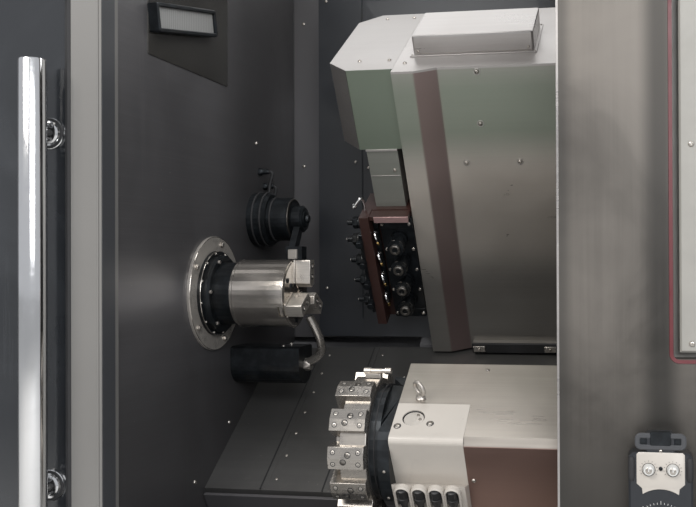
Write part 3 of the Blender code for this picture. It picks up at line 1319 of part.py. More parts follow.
def build_eyebolt(slide, steel):
    """Make the lifting eyebolt that stands on the turret cover."""
    shape = bmesh.new()
    rings = []
    floor = HOUSING_TOP + FIT
    collar = EYE_WIRE * 2.0
    centre = Vector((EYEBOLT_X, EYEBOLT_PLACE, floor + collar + EYE_RADIUS + EYE_WIRE * 0.4))
    for count in range(20):
        angle = 2.0 * math.pi * count / 20
        out = Vector((math.cos(angle), 0.0, math.sin(angle)))
        ring = []
        for step in range(8):
            turn = 2.0 * math.pi * step / 8
            swing = out * (EYE_RADIUS + EYE_WIRE * math.cos(turn))
            ring.append(shape.verts.new(centre + swing + Vector((0.0, EYE_WIRE * math.sin(turn), 0.0))))
        rings.append(ring)
    for index, ring in enumerate(rings):
        bridge(shape, rings[index - 1], ring)
    bolt = add_piece("eyebolt", shape, steel, slide, SLOPED, smooth=True)
    profile = [(floor, 0.0), (floor, EYE_WIRE * 2.2), (floor + collar * 0.5, EYE_WIRE * 2.2)]
    profile += [(floor + collar, EYE_WIRE), (floor + collar + EYE_WIRE, EYE_WIRE)]
    profile += [(floor + collar + EYE_WIRE, 0.0)]
    combine(bolt, turned("z", (EYEBOLT_X, EYEBOLT_PLACE), profile, 14), "UNION", SLOPED)


def build_control_panel(bodies, materials):
    """Make the control panel that sits in the recess, and its stop button."""
    frame = bodies["frame"]
    recess = rectangle(RECESS_LEFT, RECESS_RIGHT, RECESS_BOTTOM, RECESS_TOP)
    seat = FRONT_FACE + FOLD + FIT
    flange = offset_outline(recess, PANEL_FLANGE)
    shape = prism("y", flange, seat, seat + PANEL_DEPTH)
    panel = add_piece("control_panel", shape, materials["light_plastic"], frame)
    face = FRONT_FACE + PANEL_SETBACK
    plate = offset_outline(recess, -PANEL_MARGIN)
    bevelled = offset_outline(plate, -SHEET)
    combine(panel, lofted("y", [(bevelled, face), (plate, face + SHEET), (plate, seat + SHEET)]), "UNION")
    stem = STOP_RADIUS * 0.45
    guide = bar_profile(face - SHEET, face + STOP_HEIGHT, stem + FIT)
    combine(panel, turned("y", (STOP_X, STOP_Z), guide, 20), "DIFFERENCE")
    back = face - STOP_TRAVEL - FIT
    front = back - STOP_HEIGHT * 0.6
    root = face + STOP_HEIGHT / 2
    profile = [(front, 0.0), (front, STOP_RADIUS * 0.75), (front + SHEET, STOP_RADIUS)]
    profile += [(back, STOP_RADIUS), (back, stem), (root, stem), (root, 0.0)]
    button = turned("y", (STOP_X, STOP_Z), profile, 24)
    add_piece("stop_button", button, materials["red_plastic"], bodies["stop_button"], smooth=True)


def lofted(axis, sections):
    """Join outlines of the same number of corners into a solid, from first to last."""
    shape = bmesh.new()
    loops = [add_loop(shape, axis, outline, along) for outline, along in sections]
    fill(shape, [loops[0]])
    fill(shape, [loops[-1]])
    for first, second in zip(loops, loops[1:]):
        bridge(shape, first[0], second[0])
    return shape


def pendant_outline():
    """Return the hand pendant's outline: a grip at the top and cut lower corners."""
    half = PENDANT_WIDTH / 2
    grip = PENDANT_GRIP / 2
    cut = PENDANT_CHAMFER
    side = [(half - cut, PENDANT_BOTTOM), (half, PENDANT_BOTTOM + cut), (half, PENDANT_SHOULDER)]
    side += [(half - cut * 0.4, PENDANT_SHOULDER + cut * 0.4), (grip, PENDANT_SHOULDER + cut * 0.6)]
    side += [(grip, PENDANT_TOP - cut * 0.4), (grip - cut * 0.4, PENDANT_TOP)]
    mirrored = [(-x, z) for x, z in reversed(side)]
    return [(PENDANT_X + x, z) for x, z in side + mirrored]


def build_pendant(bodies, materials):
    """Make the hand pendant on the right panel, with its handwheel and two knobs."""
    seat = FRONT_FACE - FIT
    face = seat - PENDANT_DEPTH
    outline = pendant_outline()
    bevelled = offset_outline(outline, -SHEET)
    shape = lofted("y", [(bevelled, face), (outline, face + SHEET), (outline, seat)])
    add_piece("pendant_body", shape, materials["light_plastic"], bodies["frame"])
    back = face - FIT
    wheel = back - WHEEL_DEPTH
    dish = wheel + SHEET
    flare = back - WHEEL_DEPTH * 0.3
    ring = WHEEL_RADIUS
    grip = ring * 0.92
    profile = [(wheel, 0.0), (wheel, ring * 0.30), (dish, ring * 0.34), (dish, ring * 0.78)]
    profile += [(wheel + SHEET * 0.4, ring * 0.84), (dish, grip), (flare - SHEET / 2, grip)]
    profile += [(flare, ring), (back, ring), (back, 0.0)]
    shape = turned("y", (PENDANT_X, WHEEL_Z), profile, 32)
    add_piece("pendant_handwheel", shape, materials["black_steel"], bodies["handwheel"], smooth=True)
    for name, side in (("left", -1.0), ("right", 1.0)):
        centre = (PENDANT_X + side * KNOB_OFFSET, KNOB_Z)
        tip = back - KNOB_DEPTH
        profile = [(tip, 0.0), (tip, KNOB_RADIUS * 0.75), (tip + SHEET / 2, KNOB_RADIUS * 0.82)]
        profile += [(back - SHEET / 2, KNOB_RADIUS), (back, KNOB_RADIUS), (back, 0.0)]
        knob = turned("y", centre, profile, 18)
        body = bodies[f"{name}_knob"]
        add_piece(f"pendant_{name}_knob", knob, materials["black_steel"], body, smooth=True)


def make_bodies():
    """Return the frames of the machine's bodies, each placed on its joint's axis."""
    frame = Body("machine_frame", UPRIGHT)
    spindle = Body("spindle_axis", Matrix.Translation((CHUCK_FACE, SPINDLE_Y, SPINDLE_Z)), frame)
    bodies = {"frame": frame, "spindle": spindle}
    bodies["door"] = Body("door_slide", Matrix.Translation((DOOR_RIGHT, FRONT_FACE, DOOR_BOTTOM)), frame)
    for number in range(JAW_COUNT):
        bodies[f"jaw_{number + 1}"] = Body(f"jaw_{number + 1}_slide", jaw_turn(number), spindle)
    motor = MOTOR_SIZE / 2
    level = UPPER_WAY_LEVEL + RAIL_HEIGHT + FIT + motor
    bodies["motor_pulley"] = sloped_body("motor_axis", (MOTOR_LEFT, MOTOR_FRONT + motor, level), frame)
    setter = Matrix.Translation((SETTER_RIGHT, SETTER_Y, SETTER_Z))
    bodies["tool_setter"] = Body("tool_setter_axis", setter, frame)
    cover = (MIDDLE_COVER[0], 0.0, COVER_LEVEL)
    bodies["middle_cover"] = sloped_body("middle_cover_slide", cover, frame)
    saddle = (UPPER_SADDLE[0], UPPER_SADDLE_PLACE[0], UPPER_SADDLE_TOP)
    bodies["upper_saddle"] = sloped_body("upper_saddle_slide", saddle, frame)
    head = (HEAD_LEFT, HEAD_FRONT, UPPER_SADDLE_TOP)
    bodies["upper_head"] = sloped_body("upper_head_slide", head, bodies["upper_saddle"])
    gang = (HEAD_LEFT, GANG_FRONT, DRIVE_COVER_BOTTOM)
    bodies["gang"] = sloped_body("gang_slide_axis", gang, bodies["upper_head"])
    for number in range(TOOL_COUNT):
        place = (LIVE_TOOL_X, GANG_FRONT, tool_level(number))
        name = f"live_tool_{number + 1}"
        bodies[name] = sloped_body(f"{name}_axis", place, bodies["gang"])
    saddle = (LOWER_SADDLE[0], LOWER_SADDLE_PLACE[0], LOWER_SADDLE_TOP)
    bodies["lower_saddle"] = sloped_body("lower_saddle_slide", saddle, frame)
    slide = (HOUSING_LEFT, HOUSING_FRONT, LOWER_SADDLE_TOP)
    bodies["lower_slide"] = sloped_body("lower_cross_slide", slide, bodies["lower_saddle"])
    bodies["turret"] = sloped_body("turret_axis", (TURRET_LEFT, *TURRET_PLACE), bodies["lower_slide"])
    panel = FRONT_FACE + PANEL_SETBACK
    bodies["stop_button"] = Body("stop_button_slide", Matrix.Translation((STOP_X, panel, STOP_Z)), frame)
    face = FRONT_FACE - PENDANT_DEPTH
    wheel = Matrix.Translation((PENDANT_X, face, WHEEL_Z))
    bodies["handwheel"] = Body("handwheel_axis", wheel, frame)
    for name, side in (("left", -1.0), ("right", 1.0)):
        place = Matrix.Translation((PENDANT_X + side * KNOB_OFFSET, face, KNOB_Z))
        bodies[f"{name}_knob"] = Body(f"{name}_knob_axis", place, frame)
    return bodies


def sloped_body(name, place, parent):
    """Return a body whose empty stands at a point of the slant frame and is turned with it."""
    return Body(name, SLOPED @ Matrix.Translation(place), parent)


def main():
    """Build the whole machine."""
    remove_everything()
    materials = make_materials()
    bodies = make_bodies()
    build_base(bodies, materials)
    build_covers(bodies, materials)
    build_front(bodies, materials)
    build_inner_walls(bodies, materials)
    build_door(bodies, materials)
    build_headstock(bodies, materials)
    build_spindle(bodies, materials)
    build_drive(bodies, materials)
    build_tool_setter(bodies, materials)
    build_coolant_block(bodies, materials)
    build_way_covers(bodies, materials)
    build_upper_head(bodies, materials)
    build_gang(bodies, materials)
    build_turret_housing(bodies, materials)
    build_turret(bodies, materials)
    build_control_panel(bodies, materials)
    build_pendant(bodies, materials)


if __name__ == "__main__":
    main()
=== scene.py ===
import math

import bmesh
import bpy
import numpy as np
from mathutils import Matrix, Vector
from mathutils.bvhtree import BVHTree


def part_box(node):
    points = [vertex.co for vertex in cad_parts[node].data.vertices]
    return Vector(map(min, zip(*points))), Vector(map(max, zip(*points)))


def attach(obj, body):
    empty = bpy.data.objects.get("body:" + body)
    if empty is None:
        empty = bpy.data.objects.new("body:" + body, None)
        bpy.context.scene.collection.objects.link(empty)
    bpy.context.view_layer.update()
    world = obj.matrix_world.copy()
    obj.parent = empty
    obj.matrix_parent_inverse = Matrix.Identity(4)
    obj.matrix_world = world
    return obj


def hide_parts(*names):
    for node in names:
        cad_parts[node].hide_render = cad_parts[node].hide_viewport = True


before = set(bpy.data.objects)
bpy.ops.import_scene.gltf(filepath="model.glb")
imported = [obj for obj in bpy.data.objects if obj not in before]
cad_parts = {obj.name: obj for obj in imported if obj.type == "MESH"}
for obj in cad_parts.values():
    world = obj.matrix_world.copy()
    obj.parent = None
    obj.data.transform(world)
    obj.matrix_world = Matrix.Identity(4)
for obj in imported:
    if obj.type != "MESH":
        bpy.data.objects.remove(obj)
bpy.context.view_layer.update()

bl_info = {
    "name": "Slant-Bed Turning Lathe",
    "version": (1, 0, 0),
    "blender": (4, 5, 0),
    "location": "View3D > Sidebar > Lathe",
    "description": "Dresses a packed slant-bed turning lathe with its finishes and fine parts",
    "category": "Object",
}

SLANT = math.radians(33.0)
COS = math.cos(SLANT)
SIN = math.sin(SLANT)
UP_SLOPE = np.array((0.0, COS, SIN))
OFF_BED = np.array((0.0, -SIN, COS))
DOWN_SLOPE = -UP_SLOPE
RIGHT = np.array((1.0, 0.0, 0.0))
BACK = np.array((0.0, 1.0, 0.0))
UP = np.array((0.0, 0.0, 1.0))
PHOTO_SIZE = (696, 507)
# A point on the spindle's axis, the x of the headstock bulkhead's inner face, and the setter's hub.
SPINDLE = np.array((0.0, -0.418, 1.10))
BULKHEAD_FACE = -0.331
SETTER_HUB = np.array((0.0, -0.20, 1.258))


def corners(node):
    """Lowest and highest corner of a CAD node as arrays."""
    low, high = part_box(node)
    return np.array(low), np.array(high)


def slanted(x, place, level):
    """Machine coordinates of a point or points: up the slope by place, squarely off it by level."""
    x, place, level = np.broadcast_arrays(*(np.asarray(v, float) for v in (x, place, level)))
    return np.stack([x, place * COS - level * SIN, place * SIN + level * COS], axis=-1)


def slant_coordinates(node):
    """Lowest and highest x, place and level of a CAD node in the slant frame."""
    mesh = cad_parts[node].data
    points = np.zeros(len(mesh.vertices) * 3, np.float32)
    mesh.vertices.foreach_get("co", points)
    points = points.reshape(-1, 3).astype(float)
    local = np.stack([points[:, 0], points @ UP_SLOPE, points @ OFF_BED], axis=1)
    return local.min(axis=0), local.max(axis=0)


def basis(along, first=None):
    """Three unit vectors as rows: the third runs along the given direction."""
    along = np.asarray(along, float)
    along = along / np.linalg.norm(along)
    if first is None:
        first = RIGHT if abs(along[0]) < 0.9 else UP
    first = np.asarray(first, float) - along * np.dot(first, along)
    first = first / np.linalg.norm(first)
    return np.stack([first, np.cross(along, first), along])


def placed(shape, origin, along, first=None):
    """A shape drawn about its own origin, set at a point with its third axis along a direction."""
    points, faces = shape
    return points @ basis(along, first) + np.asarray(origin, float), faces


def joined(shapes):
    """Several shapes as one: points stacked, faces renumbered by the points before them."""
    points, faces, count = [], [], 0
    for part_points, part_faces in shapes:
        points.append(part_points)
        faces += [tuple(index + count for index in face) for face in part_faces]
        count += len(part_points)
    return np.concatenate(points), faces


def on_front(shape, y):
    """A shape drawn in x and z, laid on an upright face at y, with its third axis to the viewer."""
    return placed(shape, (0.0, y, 0.0), -BACK, RIGHT)


def skinned(rings, endless=False):
    """A skin over rings of equal length, given as an array rings x sides x 3.

    Face (i, j) joins points j and j+1 of ring i with the same two of ring i+1, the sides counted
    round. The first and last ring are closed with one flat face each, or joined where endless.
    """
    rings = np.asarray(rings, float)
    numbers = np.arange(rings.shape[0] * rings.shape[1]).reshape(rings.shape[:2])
    start, end = numbers, np.roll(numbers, -1, axis=0)
    if not endless:
        start, end = start[:-1], end[:-1]
    quads = np.stack([start, np.roll(start, -1, axis=1), np.roll(end, -1, axis=1), end], axis=-1)
    faces = quads.reshape(-1, 4).tolist()
    if not endless:
        faces += [numbers[0][::-1].tolist(), numbers[-1].tolist()]
    return rings.reshape(-1, 3), faces


def turned(profile, sides=32, flats=None):
    """A body of revolution about the third axis from (height, radius) pairs.

    Point j of ring i is (r cos t, r sin t, h) with t = 2 pi j / sides. Where flats gives a
    number of flats for a ring, its radius follows that polygon: r cos(f) / cos(t mod 2f - f).
    """
    profile = np.asarray(profile, float)
    angle = np.linspace(0.0, 2.0 * math.pi, sides, endpoint=False)
    radius = np.repeat(profile[:, 1:2], sides, axis=1)
    for ring, count in (flats or {}).items():
        half = math.pi / count
        radius[ring] *= math.cos(half) / np.cos(np.mod(angle, 2.0 * half) - half)
    height = np.repeat(profile[:, :1], sides, axis=1)
    return skinned(np.stack([radius * np.cos(angle), radius * np.sin(angle), height], axis=-1))


def extruded(outline, low, high):
    """A flat outline in the first two axes, carried from one height to another."""
    outline = np.asarray(outline, float)
    rings = [np.column_stack([outline, np.full(len(outline), height)]) for height in (low, high)]
    return skinned(np.stack(rings))


def box_shape(low, high):
    """A box between two corners, in whatever frame it is placed."""
    low, high = np.asarray(low, float), np.asarray(high, float)
    outline = [(low[0], low[1]), (high[0], low[1]), (high[0], high[1]), (low[0], high[1])]
    return extruded(outline, low[2], high[2])


def slant_box(low, high):
    """A box whose corners are x, place and level of the slant frame."""
    points, faces = box_shape(low, high)
    return slanted(points[:, 0], points[:, 1], points[:, 2]), faces


def eased(points, count):
    """Points of a Catmull-Rom curve: each span is 0.5 (2b + (c-a)t + (2a-5b+4c-d)t2 + (3b-a-3c+d)t3)."""
    knots = np.asarray(points, float)
    knots = np.concatenate([[2 * knots[0] - knots[1]], knots, [2 * knots[-1] - knots[-2]]])
    a, b, c, d = (knots[i:len(knots) - 3 + i, None] for i in range(4))
    t = np.linspace(0.0, 1.0, count, endpoint=False)[None, :, None]
    curve = 0.5 * (2 * b + (c - a) * t + (2 * a - 5 * b + 4 * c - d) * t ** 2
                   + (3 * b - a - 3 * c + d) * t ** 3)
    return np.concatenate([curve.reshape(-1, 3), knots[-2:-1]])


def swept(path, radii, sides=16):
    """A round bar along a path: each ring is the path's point plus r times two side vectors.

    The side vectors come from one fixed direction made square to the path's own heading.
    """
    path = np.asarray(path, float)
    heading = np.gradient(path, axis=0)
    heading /= np.linalg.norm(heading, axis=1, keepdims=True)
    spread = np.abs(heading).mean(axis=0)
    fixed = np.eye(3)[int(np.argmin(spread))]
    side = np.cross(heading, fixed)
    side /= np.linalg.norm(side, axis=1, keepdims=True)
    other = np.cross(heading, side)
    angle = np.linspace(0.0, 2.0 * math.pi, sides, endpoint=False)
    radii = np.broadcast_to(np.asarray(radii, float), (len(path),))[:, None, None]
    rings = path[:, None] + radii * (np.cos(angle)[None, :, None] * side[:, None]
                                     + np.sin(angle)[None, :, None] * other[:, None])
    return skinned(rings)


def riding_piece(name, shape, finish, body, smooth, bevel=0.0):
    """Put a shape into a mesh object that rides on a body, with outward faces and broken edges."""
    points, faces = shape
    mesh = bpy.data.meshes.new(name)
    mesh.from_pydata(points.tolist(), [], faces)
    work = bmesh.new()
    work.from_mesh(mesh)
    bmesh.ops.recalc_face_normals(work, faces=work.faces)
    work.to_mesh(mesh)
    work.free()
    mesh.materials.append(FINISHES[finish])
    if smooth:
        mesh.shade_smooth()
        mesh.set_sharp_from_angle(angle=math.radians(smooth))
    piece = bpy.data.objects.new(name, mesh)
    bpy.context.scene.collection.objects.link(piece)
    if bevel:
        edge = piece.modifiers.new("edges", "BEVEL")
        edge.width = bevel
        edge.segments = 2
        edge.limit_method = "ANGLE"
        edge.angle_limit = math.radians(40.0)
        edge.harden_normals = False
    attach(piece, body)
    return piece


def add_piece(name, shape, finish, body, smooth=35.0, bevel=0.0):
    """Make a riding piece with its finish, smooth shading and bevel."""
    piece = riding_piece(name, shape, finish, body, smooth, bevel)
    return piece


class Finish:
    """A procedural material with short ways of adding its patterns, all in Object coordinates."""

    def __init__(self, name, roughness=0.4, metallic=0.0, coat=0.0):
        """Start from a Principled BSDF with the values that are the same all over."""
        self.material = bpy.data.materials.new(name)
        self.material.use_nodes = True
        self.tree = self.material.node_tree
        self.shader = self.tree.nodes["Principled BSDF"]
        self.shader.inputs["Metallic"].default_value = metallic
        self.shader.inputs["Roughness"].default_value = roughness
        self.shader.inputs["Coat Weight"].default_value = coat
        self.place = self.node("ShaderNodeTexCoord").outputs["Object"]

    def node(self, kind, inputs=None, **settings):
        """Add a node; an input may be a number, a colour or another node's socket."""
        made = self.tree.nodes.new(kind)
        for key, value in settings.items():
            setattr(made, key, value)
        for key, value in (inputs or {}).items():
            if isinstance(value, bpy.types.NodeSocket):
                self.tree.links.new(value, made.inputs[key])
            else:
                made.inputs[key].default_value = value
        return made

    def stretched(self, scale, lean=0.0):
        """Object coordinates leant about X and stretched, so that streaks follow a sheet."""
        place = self.place
        if lean:
            turn = self.node("ShaderNodeMapping", {"Vector": place, "Rotation": (lean, 0.0, 0.0)})
            place = turn.outputs["Vector"]
        return self.node("ShaderNodeMapping", {"Vector": place, "Scale": scale}).outputs["Vector"]

    def noise(self, scale, detail=3.0, roughness=0.5, distortion=0.0, vector=None):
        """Cloudy noise from 0 to 1."""
        made = self.node("ShaderNodeTexNoise", {
            "Vector": vector or self.place, "Scale": scale, "Detail": detail,
            "Roughness": roughness, "Distortion": distortion})
        return made.outputs["Fac"]

    def part(self, axis, lean=0.0):
        """One of the three coordinates, after a lean about X."""
        vector = self.stretched((1.0, 1.0, 1.0), lean) if lean else self.place
        return self.node("ShaderNodeSeparateXYZ", {"Vector": vector}).outputs[axis]

    def graded(self, value, low, high, start=0.0, end=1.0, smooth=False):
        """A value taken from low..high to start..end and held there."""
        made = self.node("ShaderNodeMapRange", {
            "Value": value, "From Min": low, "From Max": high, "To Min": start, "To Max": end},
            interpolation_type="SMOOTHSTEP" if smooth else "LINEAR")
        return made.outputs["Result"]

    def sum(self, first, second, operation="ADD"):
        """Two values added, or put together in another way."""
        return self.node("ShaderNodeMath", {0: first, 1: second}, operation=operation).outputs[0]

    def between(self, value, low, high, soft):
        """1 where a value lies between two others, falling to 0 over a soft edge."""
        rising = self.graded(value, low - soft, low + soft, smooth=True)
        falling = self.graded(value, high - soft, high + soft, 1.0, 0.0, smooth=True)
        return self.sum(rising, falling, "MULTIPLY")

    def mix(self, share, first, second):
        """Two colours mixed by a share; a plain colour gets its fourth value here."""
        first, second = (value if isinstance(value, bpy.types.NodeSocket) else (*value, 1.0)
                         for value in (first, second))
        made = self.node("ShaderNodeMix", {0: share, 6: first, 7: second}, data_type="RGBA")
        return made.outputs[2]

    def over(self, base, value, low, high, share, colour):
        """A colour laid over another where a value rises from low to high, up to a share."""
        return self.mix(self.graded(value, low, high, 0.0, share), base, colour)

    def varied(self, colour, value, low, high, dark, light):
        """A colour that goes from its darker to its lighter shade as a value rises."""
        return self.mix(self.graded(value, low, high), shade(colour, dark), shade(colour, light))

    def tinted(self, base, tints, lean):
        """Local tints, each (axis, low, high, soft, colour, share) between two coordinates; the sheets use
        them mostly for painted light, shade and reflections.
        """
        for axis, low, high, soft, tint, share in tints:
            where = self.between(self.part(axis, lean), low, high, soft)
            base = self.mix(self.sum(where, share, "MULTIPLY"), base, tint)
        return base

    def spots(self, scale, low, high, where):
        """Small round spots at a Voronoi pattern's points, only where another value allows."""
        cells = self.node("ShaderNodeTexVoronoi", {"Vector": self.place, "Scale": scale})
        near = self.graded(cells.outputs["Distance"], low, high, 1.0, 0.0)
        return self.sum(near, where, "MULTIPLY")

    def relief(self, height, strength, distance, under=None):
        """A bump from a height field, on top of another one where given."""
        inputs = {"Height": height, "Strength": strength, "Distance": distance}
        if under is not None:
            inputs["Normal"] = under
        return self.node("ShaderNodeBump", inputs).outputs["Normal"]

    def done(self, colour=None, roughness=None, normal=None):
        """Link the patterns to the shader and return the material."""
        for socket, value in (("Base Color", colour), ("Roughness", roughness), ("Normal", normal)):
            if isinstance(value, bpy.types.NodeSocket):
                self.tree.links.new(value, self.shader.inputs[socket])
            elif value is not None:
                self.shader.inputs[socket].default_value = value
        return self.material


def shade(colour, factor):
    """A colour made darker or lighter by a factor."""
    return tuple(min(1.0, value * factor) for value in colour)


def powder_coat(name, colour, roughness=0.42):
    """Satin powder coat: an orange-peel skin, faint clouds and a little dust near the floor."""
    made = Finish(name, coat=0.08)
    base = made.varied(colour, made.noise(2.2, 4.0, 0.55), 0.35, 0.68, 0.93, 1.05)
    wipe = made.noise(5.0, 5.0, 0.62, vector=made.stretched((1.0, 1.0, 0.25)))
    base = made.over(base, wipe, 0.52, 0.75, 0.30, shade(colour, 0.82))
    dust = made.graded(made.part("Z"), 0.10, 0.45, 0.35, 0.0)
    base = made.mix(dust, base, shade(colour, 0.72))
    peel = made.noise(900.0, 2.0, 0.5)
    wave = made.noise(60.0, 2.0, 0.5)
    normal = made.relief(peel, 0.12, 0.0004, made.relief(wave, 0.10, 0.0006))
    rough = made.graded(wipe, 0.35, 0.75, roughness - 0.02, roughness + 0.05)
    return made.done(base, rough, normal)


def brushed(made, across, lean=0.0, fine=210.0):
    """Brush marks as two values from 0 to 1, fine lines and wide bands: noise that changes slowly
    along the brushing and fast in the directions across it."""
    scale = tuple(fine if axis in across else 3.0 for axis in "xyz")
    lines = made.noise(1.0, 2.0, 0.65, vector=made.stretched(scale, lean))
    wide = tuple(60.0 if axis in across else 1.2 for axis in "xyz")
    bands = made.noise(1.0, 3.0, 0.6, vector=made.stretched(wide, lean))
    return lines, bands


def sheet_steel(name, colour, across="yz", lean=0.0, roughness=0.30, clouds=0.30, tints=()):
    """Brushed sheet steel: brush lines, wide bands, cloudy smears and local tints of painted light,
    shade and reflection, which are given as for Finish.tinted."""
    made = Finish(name, metallic=0.72)
    lines, bands = brushed(made, across, lean)
    smear = made.noise(3.4, 5.0, 0.6, 0.8)
    base = made.varied(colour, lines, 0.30, 0.70, 0.95, 1.04)
    base = made.over(base, bands, 0.35, 0.66, 0.25, shade(colour, 0.84))
    base = made.over(base, smear, 0.42, 0.70, clouds, shade(colour, 1.35))
    base = made.mix(made.graded(smear, 0.28, 0.45, clouds * 0.8, 0.0), base, shade(colour, 0.62))
    base = made.tinted(base, tints, lean)
    rough = made.graded(smear, 0.30, 0.72, roughness - 0.06, roughness + 0.14)
    rough = made.sum(rough, made.graded(lines, 0.3, 0.7, -0.015, 0.02))
    return made.done(base, rough, made.relief(smear, 0.06, 0.004))


def dark_sheet(name, colour, across="yz", lean=0.0, roughness=0.36, tints=()):
    """Dark stainless lining: soft brush lines, oily clouds, drips, specks and local tints, mostly painted
    shade and light.
    """
    made = Finish(name, metallic=0.35)
    lines, bands = brushed(made, across, lean, 420.0)
    smear = made.noise(2.6, 5.0, 0.62, 0.7)
    base = made.varied(colour, smear, 0.35, 0.70, 0.84, 1.16)
    base = made.over(base, lines, 0.35, 0.7, 0.25, shade(colour, 1.35))
    base = made.over(base, bands, 0.42, 0.66, 0.25, shade(colour, 0.78))
    drips = made.noise(1.0, 3.0, 0.6, 0.3, made.stretched((34.0, 34.0, 1.3)))
    base = made.over(base, drips, 0.60, 0.78, 0.30, shade(colour, 1.6))
    grit = made.spots(58.0, 0.05, 0.09, made.graded(made.noise(9.0), 0.55, 0.62))
    base = made.mix(made.sum(grit, 0.6, "MULTIPLY"), base, (0.30, 0.29, 0.27))
    base = made.tinted(base, tints, lean)
    rough = made.graded(smear, 0.32, 0.72, roughness - 0.08, roughness + 0.16)
    normal = made.relief(lines, 0.10, 0.00025, made.relief(smear, 0.05, 0.004))
    return made.done(base, rough, normal)


def turned_steel(name, colour, roughness=0.24, metallic=0.95):
    """Lathe-turned steel: the sheen goes up and down with the sine of the distance from the
    spindle's axis and along it, under a soft cloud of handling."""
    made = Finish(name, metallic=metallic)
    shifted = made.node("ShaderNodeVectorMath", {0: made.place, 1: tuple(SPINDLE)},
                        operation="SUBTRACT")
    flat = made.node("ShaderNodeVectorMath", {0: shifted.outputs[0], 1: (0.0, 1.0, 1.0)},
                     operation="MULTIPLY")
    radius = made.node("ShaderNodeVectorMath", {0: flat.outputs[0]}, operation="LENGTH")
    rings = made.sum(made.sum(radius.outputs["Value"], 5600.0, "MULTIPLY"),
                     made.sum(made.part("X"), 5200.0, "MULTIPLY"))
    groove = made.graded(made.sum(rings, 0.0, "SINE"), -1.0, 1.0)
    cloud = made.noise(30.0, 3.0, 0.55)
    broad = made.noise(1.0, 2.0, 0.5, vector=made.stretched((420.0, 3.0, 3.0)))
    base = made.varied(colour, cloud, 0.35, 0.68, 0.94, 1.04)
    base = made.over(base, broad, 0.4, 0.65, 0.12, shade(colour, 0.84))
    rough = made.graded(cloud, 0.3, 0.7, roughness - 0.02, roughness + 0.05)
    return made.done(base, made.sum(rough, made.graded(groove, 0.0, 1.0, -0.02, 0.02)))


def ground_steel(name, colour, roughness=0.26, stains=0.40):
    """Ground and handled steel: fine crossed grinding, small stains and rubbed bright patches."""
    made = Finish(name, metallic=0.85)
    lines = made.noise(1.0, 2.0, 0.6, vector=made.stretched((30.0, 520.0, 520.0)))
    stain = made.noise(26.0, 5.0, 0.65, 0.4)
    base = made.varied(colour, lines, 0.3, 0.7, 0.88, 1.06)
    base = made.over(base, stain, 0.56, 0.74, stains, shade(colour, 0.52))
    rough = made.graded(stain, 0.35, 0.72, roughness - 0.05, roughness + 0.16)
    return made.done(base, rough, made.relief(lines, 0.08, 0.0002))


def black_oxide(name, colour):
    """Blued steel: near black, a little brown where it is rubbed, with a fine machined grain."""
    made = Finish(name, metallic=0.6)
    cloud = made.noise(38.0, 5.0, 0.62)
    base = made.mix(made.graded(cloud, 0.45, 0.72), colour, shade(colour, 2.4))
    oil = made.noise(9.0, 3.0, 0.5, 0.5)
    base = made.over(base, oil, 0.55, 0.72, 0.5, (0.060, 0.056, 0.050))
    rough = made.graded(oil, 0.35, 0.70, 0.46, 0.28)
    return made.done(base, rough, made.relief(made.noise(640.0, 2.0), 0.10, 0.0003))


def casting_paint(name, colour, roughness=0.40, primer=(0.32, 0.30, 0.27)):
    """Painted casting: a slightly pitted skin, oily smears, and chips that show the primer."""
    made = Finish(name, coat=0.12)
    cloud = made.noise(7.0, 5.0, 0.6)
    base = made.varied(colour, cloud, 0.35, 0.70, 0.94, 1.03)
    smear = made.noise(13.0, 5.0, 0.66, 0.9)
    base = made.over(base, smear, 0.60, 0.80, 0.30, shade(colour, 0.70))
    chips = made.spots(95.0, 0.06, 0.10, made.graded(made.noise(16.0), 0.60, 0.66))
    base = made.mix(chips, base, primer)
    pits = made.noise(420.0, 3.0, 0.6)
    normal = made.relief(pits, 0.14, 0.0005, made.relief(cloud, 0.08, 0.002))
    rough = made.graded(smear, 0.35, 0.75, roughness - 0.06, roughness + 0.14)
    return made.done(base, rough, normal)


def moulded(name, colour, roughness=0.42):
    """Moulded plastic: a fine spark-eroded grain, faint mottling and finger marks."""
    made = Finish(name)
    base = made.varied(colour, made.noise(22.0, 4.0, 0.55), 0.35, 0.70, 0.95, 1.04)
    touch = made.noise(14.0, 5.0, 0.65, 1.1)
    rough = made.graded(touch, 0.35, 0.72, roughness + 0.08, roughness - 0.10)
    return made.done(base, rough, made.relief(made.noise(1500.0, 2.0), 0.16, 0.0002))


def rubber(name, colour):
    """Matt rubber: dull, dusty in its clouds, with a fine grain."""
    made = Finish(name)
    dust = made.noise(18.0, 5.0, 0.62)
    base = made.over(colour, dust, 0.45, 0.75, 0.6, shade(colour, 2.6))
    return made.done(base, made.graded(dust, 0.3, 0.7, 0.62, 0.80),
                     made.relief(made.noise(700.0, 2.0), 0.2, 0.0003))


def polished(name, colour, roughness=0.07):
    """Polished chrome or brass: bright, with faint wipe marks and finger bloom."""
    made = Finish(name, metallic=1.0)
    bloom = made.noise(24.0, 5.0, 0.66, 0.8)
    wipe = made.noise(1.0, 3.0, 0.5, vector=made.stretched((160.0, 160.0, 3.0)))
    base = made.over(colour, bloom, 0.5, 0.8, 0.4, shade(colour, 0.86))
    rough = made.sum(made.graded(bloom, 0.40, 0.75, roughness, roughness + 0.10),
                     made.graded(wipe, 0.4, 0.7, 0.0, 0.04))
    return made.done(base, rough)


